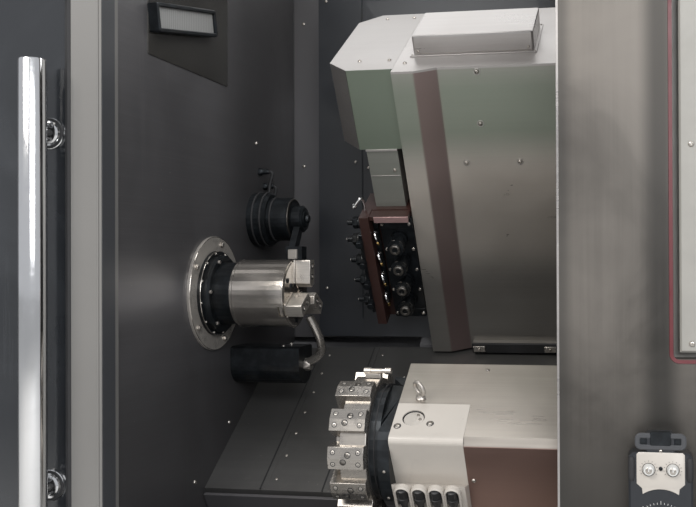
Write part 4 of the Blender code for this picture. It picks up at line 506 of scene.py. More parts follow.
def tinted_glass(name, colour):
    """Dark safety glass: a deep gloss with dried streaks of coolant and wiped arcs."""
    made = Finish(name, coat=0.35)
    made.shader.inputs["Coat Roughness"].default_value = 0.03
    made.shader.inputs["Specular IOR Level"].default_value = 0.7
    drips = made.noise(1.0, 4.0, 0.65, 0.2, made.stretched((42.0, 42.0, 1.6)))
    haze = made.noise(4.0, 5.0, 0.6, 0.7)
    base = made.over(colour, drips, 0.58, 0.80, 0.30, (0.10, 0.105, 0.11))
    base = made.over(base, haze, 0.50, 0.75, 0.35, (0.055, 0.060, 0.066))
    return made.done(base, made.graded(haze, 0.35, 0.75, 0.05, 0.16))


def lit_lens(name, colour):
    """The work lamp's diffuser: milky, ribbed by the sine of Y and faintly lit from inside."""
    made = Finish(name, roughness=0.3)
    ribs = made.graded(made.sum(made.sum(made.part("Y"), 900.0, "MULTIPLY"), 0.0, "SINE"), -1.0, 1.0)
    base = made.mix(ribs, shade(colour, 0.86), colour)
    made.shader.inputs["Emission Color"].default_value = (*colour, 1.0)
    made.shader.inputs["Emission Strength"].default_value = 0.04
    return made.done(base, None, made.relief(ribs, 0.3, 0.0008))


FINISHES = {}


def keep(name, maker, *settings, **more):
    """Make a material and keep it by its name."""
    FINISHES[name] = maker(name, *settings, **more)


def make_paints(colours):
    """Paints, plastics, rubber and glass."""
    keep("coat", powder_coat, colours.grey_paint)
    keep("coat_dark", powder_coat, colours.dark_paint, 0.38)
    keep("coat_black", powder_coat, colours.black_paint, 0.36)
    keep("white", casting_paint, colours.white_paint)
    keep("maroon", casting_paint, colours.maroon_paint, 0.36, (0.30, 0.22, 0.18))
    keep("iron", casting_paint, colours.iron_paint, 0.48, (0.10, 0.095, 0.09))
    keep("rubber", rubber, colours.rubber)
    keep("glass", tinted_glass, colours.glass)
    keep("screen", tinted_glass, shade(colours.glass, 0.7))
    keep("red", moulded, colours.red_plastic, 0.32)
    keep("keys", moulded, colours.light_plastic, 0.46)
    keep("black_plastic", moulded, colours.rubber, 0.40)
    keep("panel", moulded, colours.panel_face, 0.40)
    keep("maroon_line", moulded, colours.maroon_line, 0.38)
    keep("lens", lit_lens, shade(colours.lens, 0.30))


def make_machined(colours):
    """Turned, ground, blued and polished metal."""
    bright = colours.bright_steel
    keep("ground", ground_steel, bright)
    keep("screws", ground_steel, shade(bright, 0.80), 0.24)
    keep("turret_steel", ground_steel, shade(bright, 0.66), 0.22, 0.30)
    keep("jaw_steel", ground_steel, shade(bright, 1.05), 0.30, 0.12)
    keep("turned", turned_steel, bright, 0.17)
    keep("turned_dark", turned_steel, shade(bright, 0.42), 0.30)
    keep("turned_mid", turned_steel, shade(bright, 0.80), 0.28, 0.55)
    keep("oxide", black_oxide, colours.black_steel)
    keep("chrome", polished, colours.chrome)
    keep("brass", polished, colours.brass, 0.16)


def make_sheets(colours):
    """Sheet metal, with tints between two of each sheet's coordinates, mostly painted light, shade and
    reflections.
    """
    steel, warm, bright = colours.stainless, colours.warm_stainless, colours.bright_stainless
    lining, covers, green = colours.dark_stainless, colours.way_covers, colours.green_painted_reflection
    # Painted shade and dark reflection on the right panel: darker towards the floor, in a band beside the
    # recess, and along its left edge by the opening.
    low_panel_painted_shade = ("Z", -1.0, 0.90, 0.22, shade(steel, 0.08), 0.90)
    recess_side_painted_shade = ("X", 0.528, 0.57, 0.016, shade(steel, 0.11), 0.80)
    opening_edge_painted_shade = ("X", 0.30, 0.414, 0.010, shade(steel, 0.16), 0.60)
    keep("steel_panel", sheet_steel, shade(warm, 0.36), "xy", roughness=0.34, clouds=0.60,
         tints=(low_panel_painted_shade, recess_side_painted_shade, opening_edge_painted_shade))
    # Painted reflections and light on the head: a green cast on the upper face, a lighter warm band below
    # it, darker shade low down, a pink band down the face, and a lighter top face.
    head_painted_reflections = (("Z", 1.36, 1.532, 0.05, green, 0.70), ("Z", 1.10, 1.34, 0.07, shade(warm, 1.7), 0.7),
                  ("Z", 0.5, 1.08, 0.06, shade(steel, 0.55), 0.5),
                  ("X", 0.099, 0.143, 0.004, colours.pink_painted_reflection, 0.80),
                  ("Z", 1.5335, 1.60, 0.0008, shade(bright, 0.66), 1.0))
    keep("steel_head", sheet_steel, steel, "yz", -SLANT, 0.30, 0.34, head_painted_reflections)
    # Painted reflection: the hood's front face greener and darker than its top.
    hood_front_painted_reflection = ("Y", 0.0, 0.4425, 0.001, shade(green, 0.9), 0.90)
    keep("steel_hood", sheet_steel, shade(bright, 0.58), "yz", -SLANT, 0.32, 0.25, (hood_front_painted_reflection,))
    keep("steel_top", sheet_steel, shade(bright, 0.68), "yz", -SLANT, 0.28)
    # Painted reflection: a brown cast on the turret cover's front face.
    turret_front_painted_reflection = ("Y", -0.5, -0.127, 0.001, colours.brown_painted_reflection, 0.80)
    keep("steel_turret", sheet_steel, warm, "yz", -SLANT, 0.32, 0.30, (turret_front_painted_reflection,))
    keep("mirror", sheet_steel, shade(steel, 0.30), "xz", roughness=0.13)
    keep("pink_steel", sheet_steel, colours.lip_steel, "yz", -SLANT, 0.30)
    # Painted shade on the lining deeper in and lower down, a lighter streak at the spindle's height, and
    # painted light on the return strip that faces the front.
    lining_painted_light_and_streak = (("Y", -0.33, 0.9, 0.10, shade(lining, 0.40), 0.65),
                    ("Z", 0.4, 0.96, 0.10, shade(lining, 0.50), 0.50),
                    ("Z", 1.075, 1.125, 0.03, shade(lining, 2.2), 0.50),
                    ("X", -0.328, 0.5, 0.002, shade(lining, 1.2), 1.0))
    keep("lining", dark_sheet, lining, "xz", tints=lining_painted_light_and_streak)
    keep("lining_right", dark_sheet, lining, "xy")
    # Painted shade: the way covers darker towards the back.
    rear_painted_shade = ("Y", 0.16, 0.9, 0.12, shade(covers, 0.45), 0.70)
    keep("way_covers", dark_sheet, covers, "yz", -SLANT, 0.30, (rear_painted_shade,))


def make_finishes(colours):
    """Every material of the lathe, kept by name in FINISHES."""
    make_paints(colours)
    make_machined(colours)
    make_sheets(colours)


NODES_BY_FINISH = {
    "iron": ("bed_casting", "headstock_housing", "upper_saddle"),
    "coat": ("left_cover", "right_cover", "rear_cover", "roof_panel", "front_frame", "door_frame"),
    "coat_dark": ("spindle_motor",),
    "coat_black": ("pendant_body", "back_cover"),
    "white": ("turret_housing", "hose_manifold"),
    "maroon": ("gang_slide",),
    "rubber": ("drive_belt",),
    "glass": ("door_window",),
    "red": ("stop_button",),
    "keys": ("pendant_left_knob", "pendant_right_knob"),
    "black_plastic": ("pendant_handwheel",),
    "panel": ("control_panel",),
    "ground": ("leveling_foot", "spindle_cartridge", "chuck_jaw", "turret_disc"),
    "screws": ("eyebolt",),
    "turned": ("spindle_pulley", "motor_pulley", "chuck_body"),
    "turned_mid": ("spindle_flange",),
    "oxide": ("labyrinth_ring", "tool_setter_hub", "tool_setter_arm", "coolant_block", "live_tool",
              "spindle_shaft", "fixed_tool_bar", "coolant_nozzles", "turret_ring"),
    "chrome": ("door_handle",),
    "steel_panel": ("front_right_panel",),
    "steel_head": ("upper_head",),
    "steel_hood": ("head_hood",),
    "steel_top": ("head_top_cover",),
    "steel_turret": ("turret_cover",),
    "lining": ("headstock_bulkhead",),
    "lining_right": ("right_inner_wall",),
    "way_covers": ("fixed_way_cover", "middle_way_cover", "carriage_way_cover", "lower_saddle"),
}


NODE_FINISHES = {node: finish for finish, nodes in NODES_BY_FINISH.items() for node in nodes}


def needed(node):
    """A CAD node by name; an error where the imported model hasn't got it."""
    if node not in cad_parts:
        raise RuntimeError(f"the packed model has no node {node}")
    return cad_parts[node]


def dress_nodes():
    """Give each CAD node its finish in its own material slots."""
    for name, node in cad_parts.items():
        stem = name.rstrip("0123456789").rstrip("_")
        finish = NODE_FINISHES.get(name) or NODE_FINISHES.get(stem)
        if finish is None:
            raise RuntimeError(f"no finish is given for {name}")
        for slot in node.material_slots:
            slot.material = FINISHES[finish]


def socket_head(radius, height):
    """A socket cap screw: a chamfered cap with a six-sided socket, to stand on a surface."""
    return turned([(-0.0006, radius), (height * 0.8, radius), (height, radius * 0.86),
                   (height, radius * 0.56), (height * 0.4, radius * 0.5)], 12, {3: 6, 4: 6})


def hex_head(radius, height):
    """A hexagon head on its washer."""
    return turned([(-0.0006, radius * 1.25), (height * 0.2, radius * 1.25), (height * 0.2, radius),
                   (height * 0.85, radius), (height, radius * 0.82)], 12, {2: 6, 3: 6})


def button_head(radius, height):
    """A low domed head with a six-sided socket."""
    return turned([(-0.0006, radius), (height * 0.35, radius * 0.97), (height * 0.8, radius * 0.76),
                   (height, radius * 0.45), (height * 0.4, radius * 0.38)], 12, {3: 6, 4: 6})


def seated(node, places, along, reach=0.06):
    """Points moved onto a node's surface, looked for along a line from outside."""
    mesh = needed(node).data
    tree = BVHTree.FromPolygons([vertex.co for vertex in mesh.vertices],
                                [tuple(face.vertices) for face in mesh.polygons])
    found = []
    for place in np.atleast_2d(places):
        start = Vector(place + np.asarray(along) * reach)
        spot = tree.ray_cast(start, -Vector(along), reach * 2.0)[0]
        if spot is None:
            raise RuntimeError(f"{node} has no surface at {tuple(place)}")
        found.append(spot)
    return np.array(found)


def screws(name, head, places, along, body, finish="screws"):
    """A group of like screws on one body, each turned by its own angle about its axis."""
    places = np.atleast_2d(places)
    shapes = []
    for number, (place, axis) in enumerate(zip(places, np.broadcast_to(along, places.shape))):
        rows = basis(axis)
        turn = 2.4 * number
        shapes.append(placed(head, place, axis, math.cos(turn) * rows[0] + math.sin(turn) * rows[1]))
    return riding_piece(name, joined(shapes), finish, body, 30.0)


def bolt_circle(centre, along, radius, count, start=0.0):
    """Points evenly round an axis, the first one turned from the basis's first vector."""
    rows = basis(along)
    angle = start + np.arange(count) * 2.0 * math.pi / count
    ring = np.cos(angle)[:, None] * rows[0] + np.sin(angle)[:, None] * rows[1]
    return np.asarray(centre, float) + radius * ring


def rounded_loop(low, high, radius):
    """Points round a rectangle with rounded corners, and the outward unit vector at each.

    Each corner is six points at its centre plus r times (cos t, sin t), over a quarter turn.
    """
    centres = np.array([(high[0] - radius, high[1] - radius), (low[0] + radius, high[1] - radius),
                        (low[0] + radius, low[1] + radius), (high[0] - radius, low[1] + radius)])
    angle = np.radians(np.arange(4)[:, None] * 90.0 + np.linspace(0.0, 90.0, 6)[None, :])
    out = np.stack([np.cos(angle), np.sin(angle)], axis=-1)
    return (centres[:, None] + radius * out).reshape(-1, 2), out.reshape(-1, 2)


def framed(low, high, radius, section):
    """A moulding round a rounded rectangle: at each point of the loop, its section's points lie
    at the loop plus outward times the first value, raised by the second."""
    path, out = rounded_loop(low, high, radius)
    section = np.asarray(section, float)
    flat = path[:, None] + out[:, None] * section[None, :, :1]
    rise = np.broadcast_to(section[None, :, 1:], (*flat.shape[:2], 1))
    return skinned(np.concatenate([flat, rise], axis=-1), endless=True)


def plate(low, high, radius, height, edge=0.0008):
    """A flat plate with rounded corners and a broken upper edge."""
    path, out = rounded_loop(low, high, radius)
    levels = [(0.0, -0.0004), (0.0, height - edge), (-edge, height)]
    rings = [np.column_stack([path + out * inset, np.full(len(path), rise)]) for inset, rise in levels]
    return skinned(np.stack(rings))


def torus(radius, wire, sides=40, steps=10):
    """A ring of round wire: (R + w cos a) (cos t, sin t) at height w sin a about the third axis."""
    turn = np.linspace(0.0, 2.0 * math.pi, sides, endpoint=False)[:, None]
    angle = np.linspace(0.0, 2.0 * math.pi, steps, endpoint=False)[None, :]
    reach = radius + wire * np.cos(angle)
    height = np.broadcast_to(wire * np.sin(angle), (sides, steps))
    return skinned(np.stack([reach * np.cos(turn), reach * np.sin(turn), height], axis=-1),
                   endless=True)


def front_middle(node):
    """The middle of a node's box on the side of the viewer."""
    low, high = corners(node)
    return np.array(((low[0] + high[0]) / 2.0, low[1], (low[2] + high[2]) / 2.0))


def dress_handle(sizes, glass):
    """The door's tube with rounded ends, its two posts with their roses, and the posts' seals."""
    low, high = corners("door_handle")
    radius = sizes.handle_diameter / 2.0
    middle, bottom, top = (low[0] + high[0]) / 2.0, low[2], high[2]
    tube = turned([(bottom, radius - 0.004), (bottom + 0.0008, radius - 0.001), (bottom + 0.003, radius),
                   (top - 0.003, radius), (top - 0.0008, radius - 0.001), (top, radius - 0.004)], 64)
    post = turned([(-0.0003, 0.0245), (0.0035, 0.0250), (0.0055, 0.0235), (0.0065, 0.0165),
                   (0.0085, 0.0150), (0.0120, 0.0128), (0.0420, 0.0128)], 40)
    heights = (bottom + sizes.post_inset, top - sizes.post_inset)
    shapes = [placed(tube, (middle, low[1] + radius, 0.0), UP)]
    shapes += [placed(post, (middle, glass, height), -BACK, UP) for height in heights]
    handle = add_piece("handle_tube", joined(shapes), "chrome", "door", 40.0)
    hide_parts("door_handle")
    seals = [placed(torus(0.0215, 0.0028), (middle, glass - 0.004, height), -BACK)
             for height in heights]
    add_piece("handle_seals", joined(seals), "rubber", "door")


def dress_door(sizes):
    """The window's gasket, the edge bead, a thin dark strip of painted shade on the closing edge, and the
    handle.
    """
    low, high = corners("door_frame")
    glass = corners("door_window")[0][1]
    stile, rail, inset = 0.053, 0.09, 0.004
    section = [(0.0005, -0.0005), (0.0005, 0.0070), (-0.0035, 0.0088), (-0.0090, 0.0062),
               (-0.0100, -0.0005)]
    gasket = framed((low[0] + stile, low[2] + rail), (high[0] - stile, high[2] - rail), 0.010, section)
    add_piece("window_gasket", on_front(gasket, glass), "rubber", "door")
    section = [(0.0, -0.0005), (-0.0006, 0.0014), (-0.0034, 0.0014), (-0.0042, -0.0005)]
    bead = framed((low[0] + inset, low[2] + inset), (high[0] - inset, high[2] - inset), 0.006, section)
    add_piece("door_edge_bead", on_front(bead, low[1]), "coat", "door")
    # A thin dark strip on the door's closing edge, drawn as a seal; its dark paint is painted shade on that
    # side.
    seal = box_shape((high[0] - 0.0002, low[1] + 0.002, low[2] + 0.003),
                     (high[0] + 0.0008, high[1] - 0.002, high[2] - 0.003))
    add_piece("door_edge_painted_shade", seal, "coat_dark", "door")
    dress_handle(sizes, glass)


def dress_bulkhead(sizes):
    """The polished plate and work lamp on the headstock bulkhead, and its screws."""
    polished_plate = plate((-0.674, 1.53), (-0.351, 1.86), 0.004, 0.0015)
    add_piece("polished_plate", placed(polished_plate, (BULKHEAD_FACE, 0.0, 0.0), RIGHT, BACK),
              "mirror", "machine")
    tilt = math.radians(11.0)
    first = (0.0, math.cos(tilt), math.sin(tilt))
    place = (BULKHEAD_FACE + 0.0015, -0.556, 1.617)
    half = np.array((sizes.lamp_length, sizes.lamp_height)) / 2.0
    case = framed(-half, half, 0.006,
                  [(-0.0075, -0.0005), (0.0, -0.0005), (0.0, 0.017), (-0.0015, 0.0185), (-0.006, 0.0185),
                   (-0.0075, 0.017)])
    add_piece("lamp_case", placed(case, place, RIGHT, first), "oxide", "machine")
    wall = 0.0065
    lens = plate(-half + wall, half - wall, 0.004, 0.013)
    add_piece("lamp_lens", placed(lens, place, RIGHT, first), "lens", "machine")
    spots = [(BULKHEAD_FACE, y, z) for y, z in ((-0.347, 0.827), (-0.501, 0.7375), (-0.20, 1.43))]
    spots = seated("headstock_bulkhead", np.array(spots), RIGHT)
    screws("bulkhead_screws", button_head(0.0045, 0.003), spots, RIGHT, "machine")
    strip_middle = -0.304
    spots = [(strip_middle, 0.0, height) for height in (1.756, 1.40, 1.10)]
    spots = seated("headstock_bulkhead", np.array(spots), -BACK, 0.2)
    screws("strip_screws", button_head(0.0045, 0.003), spots, -BACK, "machine")


def jaw_outward(number):
    """The way that a jaw's slot points: straight up for the first, then by thirds of a turn."""
    angle = number * 2.0 * math.pi / 3.0
    return np.array((0.0, -math.sin(angle), math.cos(angle)))


def dress_spindle():
    """Screws and seals of the spindle flange and labyrinth ring, and the chuck's fine parts."""
    flange = corners("spindle_flange")[1][0]
    spots = bolt_circle(SPINDLE + RIGHT * flange, RIGHT, 0.101, 5, math.radians(-14.0))
    screws("flange_screws", hex_head(0.0052, 0.0045), spots, RIGHT, "machine")
    ring_front = corners("labyrinth_ring")[1][0]
    spots = bolt_circle(SPINDLE + RIGHT * (ring_front - 0.0128), RIGHT, 0.0812, 12, 0.2)
    screws("labyrinth_rim_screws", button_head(0.0026, 0.0022), spots, RIGHT, "machine")
    spots = bolt_circle(SPINDLE + RIGHT * ring_front, RIGHT, 0.0695, 6, 0.45)
    screws("labyrinth_screws", socket_head(0.0040, 0.0035), spots, RIGHT, "machine")
    rings = [placed(torus(radius, 0.0008, 72, 8), SPINDLE + RIGHT * x, RIGHT)
             for x, radius in ((-0.3252, 0.1135), (-0.3180, 0.0845))]
    add_piece("flange_edges", joined(rings), "turned", "machine")
    chuck_face = SPINDLE + RIGHT * corners("chuck_body")[1][0]
    guides = [placed(box_shape((0.020, side, -0.0004), (0.0665, side + 0.0035, 0.0032)),
                     chuck_face, RIGHT, jaw_outward(number))
              for number in range(3) for side in (0.0115, -0.0150)]
    add_piece("chuck_guides", joined(guides), "ground", "spindle", bevel=0.0006)
    spots = [chuck_face + reach * jaw_outward(number + 0.5)
             for number in range(3) for reach in (0.032, 0.053)]
    screws("chuck_face_screws", socket_head(0.0052, 0.0020), np.array(spots), RIGHT, "spindle", "oxide")
    bands = [turned([(x, 0.0674), (x + 0.0006, 0.0682), (x + 0.0034, 0.0682), (x + 0.0040, 0.0674)], 72)
             for x in (-0.2660, -0.1620)]
    add_piece("chuck_bands", joined([placed(band, SPINDLE, RIGHT) for band in bands]), "turned",
              "spindle")
    dress_jaws()


def dress_jaws():
    """A chuck jaw on its narrower base for each jaw node, with a pointed inner end and two screws."""
    foot, step, tip, overlap = -0.1690, -0.1524, -0.1221, 0.0001
    top = [(0.0125, 0.0), (0.0200, -0.0130), (0.0650, -0.0130), (0.0665, -0.0115), (0.0665, 0.0115),
           (0.0650, 0.0130), (0.0200, 0.0130)]
    base = [(0.0240, -0.0107), (0.0640, -0.0107), (0.0640, 0.0107), (0.0240, 0.0107)]
    shape = joined([extruded(top, step - overlap, tip), extruded(base, foot, step + overlap)])
    for number in range(3):
        name = f"jaw_{number + 1}"
        outward = jaw_outward(number)
        jaw = add_piece(f"{name}_block", placed(shape, SPINDLE, RIGHT, outward), "jaw_steel", name,
                        25.0, bevel=0.0008)
        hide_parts(f"chuck_{name}")
        spots = np.array([SPINDLE + outward * reach + RIGHT * tip for reach in (0.0335, 0.0540)])
        # A dark disc round each screw: painted shade of its counterbore.
        screws(f"{name}_wells", turned([(-0.0006, 0.0062), (0.0002, 0.0060)], 18), spots, RIGHT, name,
               "oxide")
        screws(f"{name}_screws", button_head(0.0046, 0.0014), spots, RIGHT, name)


def dress_setter_hoses():
    """Two hex fittings on the bulkhead and the hoses that bend from them down to the hub."""
    nut = turned([(-0.0006, 0.0085), (0.007, 0.0085), (0.0085, 0.0070), (0.012, 0.0062),
                  (0.020, 0.0062), (0.024, 0.0048)], 12, {0: 6, 1: 6})
    fittings, hoses = [], []
    for y, z, bend in ((-0.186, 1.367, 0.030), (-0.158, 1.336, 0.022)):
        base = np.array((BULKHEAD_FACE, y, z))
        fittings.append(placed(nut, base, RIGHT))
        foot = SETTER_HUB + np.array((-0.306, (y - SETTER_HUB[1]) * 0.8, 0.052))
        path = eased([base + RIGHT * 0.018, base + RIGHT * (0.020 + bend * 0.4) + UP * -0.004,
                      base + RIGHT * 0.026 + UP * -bend, foot], 8)
        hoses.append(swept(path, 0.0036, 12))
    add_piece("setter_fittings", joined(fittings), "oxide", "machine")
    add_piece("setter_hoses", joined(hoses), "rubber", "machine")


def dress_setter():
    """The tool setter's boot rings, rim, hoses, cap and stylus, and the coolant block's pipe."""
    rings = []
    for x in (-0.318, -0.300, -0.282):
        top = seated("tool_setter_hub", SETTER_HUB + RIGHT * x, UP, 0.1)[0]
        rings.append(placed(torus(top[2] - SETTER_HUB[2], 0.0024, 48, 8), SETTER_HUB + RIGHT * x, RIGHT))
    add_piece("setter_boot", joined(rings), "rubber", "machine")
    front = corners("tool_setter_hub")[1][0]
    rim = turned([(-0.001, 0.046), (0.0015, 0.046), (0.0024, 0.0445), (0.0024, 0.0405),
                  (0.0004, 0.040)], 48)
    add_piece("setter_rim", placed(rim, SETTER_HUB + RIGHT * (front - 0.0024), RIGHT), "turned_dark",
              "machine")
    dress_setter_hoses()
    arm_face = seated("tool_setter_arm", SETTER_HUB, RIGHT, 0.3)[0]
    cap = turned([(-0.001, 0.019), (0.002, 0.019), (0.004, 0.016), (0.004, 0.010), (0.009, 0.009),
                  (0.009, 0.005)], 36, {4: 6, 5: 6})
    add_piece("setter_cap", placed(cap, arm_face, RIGHT), "oxide", "tool_setter_arm")
    low, high = corners("tool_setter_arm")
    pad = plate((low[0] + 0.009, 1.1685), (high[0] - 0.009, 1.1895), 0.002, 0.0045)
    add_piece("setter_stylus", on_front(pad, low[1]), "jaw_steel", "tool_setter_arm")
    route = np.array([(-0.182, -0.30, 0.945), (-0.144, -0.312, 0.9679), (-0.1404, -0.324, 1.0022),
                      (-0.1584, -0.336, 1.049)])
    add_piece("coolant_pipe", swept(eased(route, 10), 0.0086, 20), "screws", "machine")
    clamp = turned([(-0.001, 0.014), (0.008, 0.014), (0.010, 0.012), (0.014, 0.011)], 24, {0: 6, 1: 6})
    add_piece("coolant_nut", placed(clamp, route[0] + RIGHT * 0.0018, RIGHT), "screws", "machine")
    spots = seated("coolant_block", [(-0.22, y, 0.97) for y in (-0.322, -0.278)], UP)
    screws("coolant_screws", socket_head(0.004, 0.003), spots, UP, "machine")


def dress_way_covers():
    """The folded lips and wipers of the telescopic covers, the sill before them and back seams."""
    for node, body in (("middle_way_cover", "middle_cover"), ("carriage_way_cover", "upper_carriage")):
        low, high = slant_coordinates(node)
        top = high[2]
        lip = slant_box((low[0] - 0.0005, low[1] + 0.003, top - 0.0006),
                        (low[0] + 0.0100, high[1] - 0.002, top + 0.0009))
        add_piece(f"{body}_lip", lip, "way_covers", body, bevel=0.0004)
        wiper = slant_box((low[0] - 0.0040, low[1] + 0.003, top - 0.0014),
                          (low[0] - 0.0002, high[1] - 0.002, top + 0.0006))
        add_piece(f"{body}_wiper", wiper, "rubber", body)
        places = slanted(low[0] + 0.022, np.linspace(low[1] + 0.03, high[1] - 0.03, 7), top)
        screws(f"{body}_screws", button_head(0.0032, 0.0013), places, OFF_BED, body)
    low, high = slant_coordinates("fixed_way_cover")
    sill = slant_box((low[0] + 0.0002, -0.0085, 0.800), (high[0] - 0.0002, -0.0015, 0.8465))
    add_piece("cover_sill", sill, "lining", "machine", bevel=0.001)
    low, high = corners("back_cover")
    for number, x in enumerate((-0.122, 0.60)):
        seam = box_shape((x - 0.0016, low[1] - 0.0012, 1.03), (x + 0.0016, low[1] + 0.0002, high[2] - 0.01))
        add_piece(f"back_seam_{number + 1}", seam, "oxide", "upper_carriage")
    spots = [(-0.1396, low[1], 1.397), (-0.108, low[1], 1.383), (-0.21, low[1], 1.78), (0.55, low[1], 1.78),
             (-0.21, low[1], 1.10), (0.66, low[1], 1.10), (0.66, low[1], 1.78)]
    screws("back_cover_screws", button_head(0.0036, 0.0026), np.array(spots), -BACK, "upper_carriage")


def dress_top_cover(top):
    """The flange under the head's top cover, with screws on its front edge and at its corners."""
    low, high = slant_coordinates("head_top_cover")
    rise = 0.0022
    flange = slant_box((low[0] - 0.006, low[1] - 0.007, top - 0.0003),
                       (high[0] + 0.006, high[1] + 0.006, top + rise))
    add_piece("top_cover_flange", flange, "steel_top", "upper_head", bevel=0.0007)
    places = slanted([low[0] + 0.010, high[0] - 0.010], low[1], top + 0.009)
    screws("top_cover_screws", button_head(0.0030, 0.0022), places, DOWN_SLOPE, "upper_head")
    sides, ends = (low[0] - 0.002, high[0] + 0.002), (low[1] - 0.003, high[1] + 0.003)
    places = slanted(np.tile(sides, 2), np.repeat(ends, 2), top + rise)
    screws("flange_corner_screws", button_head(0.0022, 0.0016), places, OFF_BED, "upper_head")


def dress_head_wiper():
    """The rubber wiper along the head's lower edge, held by three screwed clamps."""
    foot = seated("upper_head", slanted([0.30], 0.40, 0.876), DOWN_SLOPE, 0.1)[0] @ UP_SLOPE
    wiper = slant_box((0.1485, foot - 0.0050, 0.8646), (0.4985, foot + 0.0004, 0.8900))
    add_piece("head_wiper", wiper, "rubber", "upper_head", bevel=0.0012)
    middles, half, front = (0.165, 0.325, 0.480), 0.013, foot - 0.0072
    clamps = [slant_box((x - half, front, 0.869), (x + half, foot - 0.0046, 0.884)) for x in middles]
    add_piece("wiper_clamps", joined(clamps), "ground", "upper_head", bevel=0.0006)
    screws("wiper_screws", button_head(0.0034, 0.0024), slanted(middles, front, 0.8765), DOWN_SLOPE,
           "upper_head")


def dress_head():
    """The upper head's screws with their rings, cover flange, hood lip, and the wiper with clamps."""
    marks = slanted([0.219, 0.216, 0.180, 0.288], 0.441, [1.527, 1.420, 1.335, 1.335])
    spots = seated("upper_head", marks, DOWN_SLOPE)
    screws("head_screws", button_head(0.0044, 0.0030), spots, DOWN_SLOPE, "upper_head")
    rings = [placed(torus(0.0062, 0.0009, 20, 6), spot, DOWN_SLOPE) for spot in spots]
    add_piece("head_screw_rings", joined(rings), "steel_top", "upper_head")
    spot = seated("head_hood", slanted([0.0295], 0.441, 1.321), DOWN_SLOPE)
    screws("drive_cover_screw", button_head(0.0042, 0.0030), spot, DOWN_SLOPE, "upper_head")
    top = slant_coordinates("upper_head")[1][2]
    dress_top_cover(top)
    lips = [slant_box((-0.0235, 0.4388, 1.3655), (0.0415, 0.4415, 1.3698)),
            slant_box((-0.0225, 0.4402, 1.3090), (0.0405, 0.4413, 1.3102))]
    add_piece("hood_lips", joined(lips), "steel_top", "upper_head", bevel=0.0004)
    dress_head_wiper()
    hood = slanted([-0.020, 0.040, -0.020, 0.040], [0.49, 0.49, 0.74, 0.74], top)
    head = slanted([0.075, 0.47, 0.075, 0.47], [0.47, 0.47, 0.74, 0.74], top)
    spots = np.concatenate([seated("head_hood", hood, OFF_BED), seated("upper_head", head, OFF_BED)])
    screws("head_roof_screws", button_head(0.0040, 0.0026), spots, OFF_BED, "upper_head")


# The live tools' common x, the level of the top one, and their pitch down the gang slide.
TOOL_X = 0.022
FIRST_TOOL = 1.170
TOOL_PITCH = 0.052
TOOL_LEVELS = FIRST_TOOL - TOOL_PITCH * np.arange(4)


def collar_plate(left, right, half, radius, depth):
    """A rectangular plate with a round hole: at angle t its outer point lies where the ray from
    the hole's centre meets the rectangle, so the four edges follow min(side / cos, half / sin)."""
    reach_corners = ((right, half), (-left, half), (-left, -half), (right, -half))
    corner_angles = [math.atan2(y, x) for x, y in reach_corners]
    angle = np.sort(np.concatenate([np.linspace(-math.pi, math.pi, 40, endpoint=False), corner_angles]))
    across, up = np.cos(angle), np.sin(angle)
    side = np.where(across > 0.0, right, left)
    outer = np.minimum(side / np.maximum(np.abs(across), 1e-9), half / np.maximum(np.abs(up), 1e-9))
    hole = np.full(len(angle), radius)
    rings = [np.column_stack([across * reach, up * reach, np.full(len(angle), height)])
             for reach, height in ((hole, 0.0), (hole, depth), (outer, depth), (outer, 0.0))]
    return skinned(np.stack(rings, axis=1), endless=True)


def dress_tool_block():
    """The gang slide's black tool block: a collar plate round each live tool, two end pieces with
    their screws, and the lip above it."""
    cell = collar_plate(0.0372, 0.0330, 0.0259, 0.0184, 0.0075)
    cells = [placed(cell, slanted(TOOL_X, 0.4298, level), DOWN_SLOPE, RIGHT) for level in TOOL_LEVELS]
    add_piece("tool_block", joined(cells), "oxide", "gang")
    left, right, head_front, foot_front, back = -0.0150, 0.0548, 0.4180, 0.4223, 0.4298
    ends = [slant_box((left, head_front, 1.1962), (right, back, 1.2205)),
            slant_box((left, foot_front, 0.9660), (right, back, 0.9878))]
    add_piece("block_ends", joined(ends), "oxide", "gang", bevel=0.001)
    columns = (-0.0095, 0.0490)
    rows = FIRST_TOOL + TOOL_PITCH * (0.5 - np.arange(5))
    places = slanted(np.tile(columns, 5), foot_front, np.repeat(rows, 2))
    places[:2] = slanted(columns, head_front, 1.208)
    places[-2:] = slanted(columns, foot_front, 0.9765)
    screws("block_screws", socket_head(0.0036, 0.0030), places, DOWN_SLOPE, "gang")
    lip = slant_box((-0.0200, 0.3995, 1.2215), (0.0530, 0.4019, 1.2350))
    add_piece("gang_lip", lip, "pink_steel", "gang", bevel=0.0005)


def dress_turning_tools():
    """Round tool holders on the gang slide's left side, with their clamp bolts and inserts."""
    sleeve = turned([(-0.0005, 0.0135), (0.005, 0.0135), (0.0055, 0.0105), (0.0075, 0.0105),
                     (0.008, 0.0132), (0.0165, 0.0132), (0.018, 0.0110), (0.019, 0.0062),
                     (0.030, 0.0058), (0.0315, 0.0040)], 18, {4: 6, 5: 6})
    holders = [placed(sleeve, slanted(-0.0603, 0.421, level), -RIGHT) for level in TOOL_LEVELS]
    holders.append(placed(sleeve, slanted(-0.0500, 0.4130, TOOL_LEVELS[0] + 0.046), -RIGHT))
    bolt = turned([(-0.001, 0.0066), (0.006, 0.0066), (0.0065, 0.0052), (0.010, 0.0052),
                   (0.0105, 0.0082), (0.020, 0.0082), (0.021, 0.0070)], 12, {4: 6, 5: 6})
    holders += [placed(bolt, slanted(-0.0553, 0.400, level + 0.008), DOWN_SLOPE)
                for level in TOOL_LEVELS]
    add_piece("turning_tools", joined(holders), "oxide", "gang", 30.0)
    insert = turned([(-0.001, 0.0026), (0.0015, 0.0030), (0.003, 0.0012)], 6)
    tips = [placed(insert, slanted(-0.0914, 0.421, level), -RIGHT) for level in TOOL_LEVELS]
    add_piece("tool_tips", joined(tips), "ground", "gang")


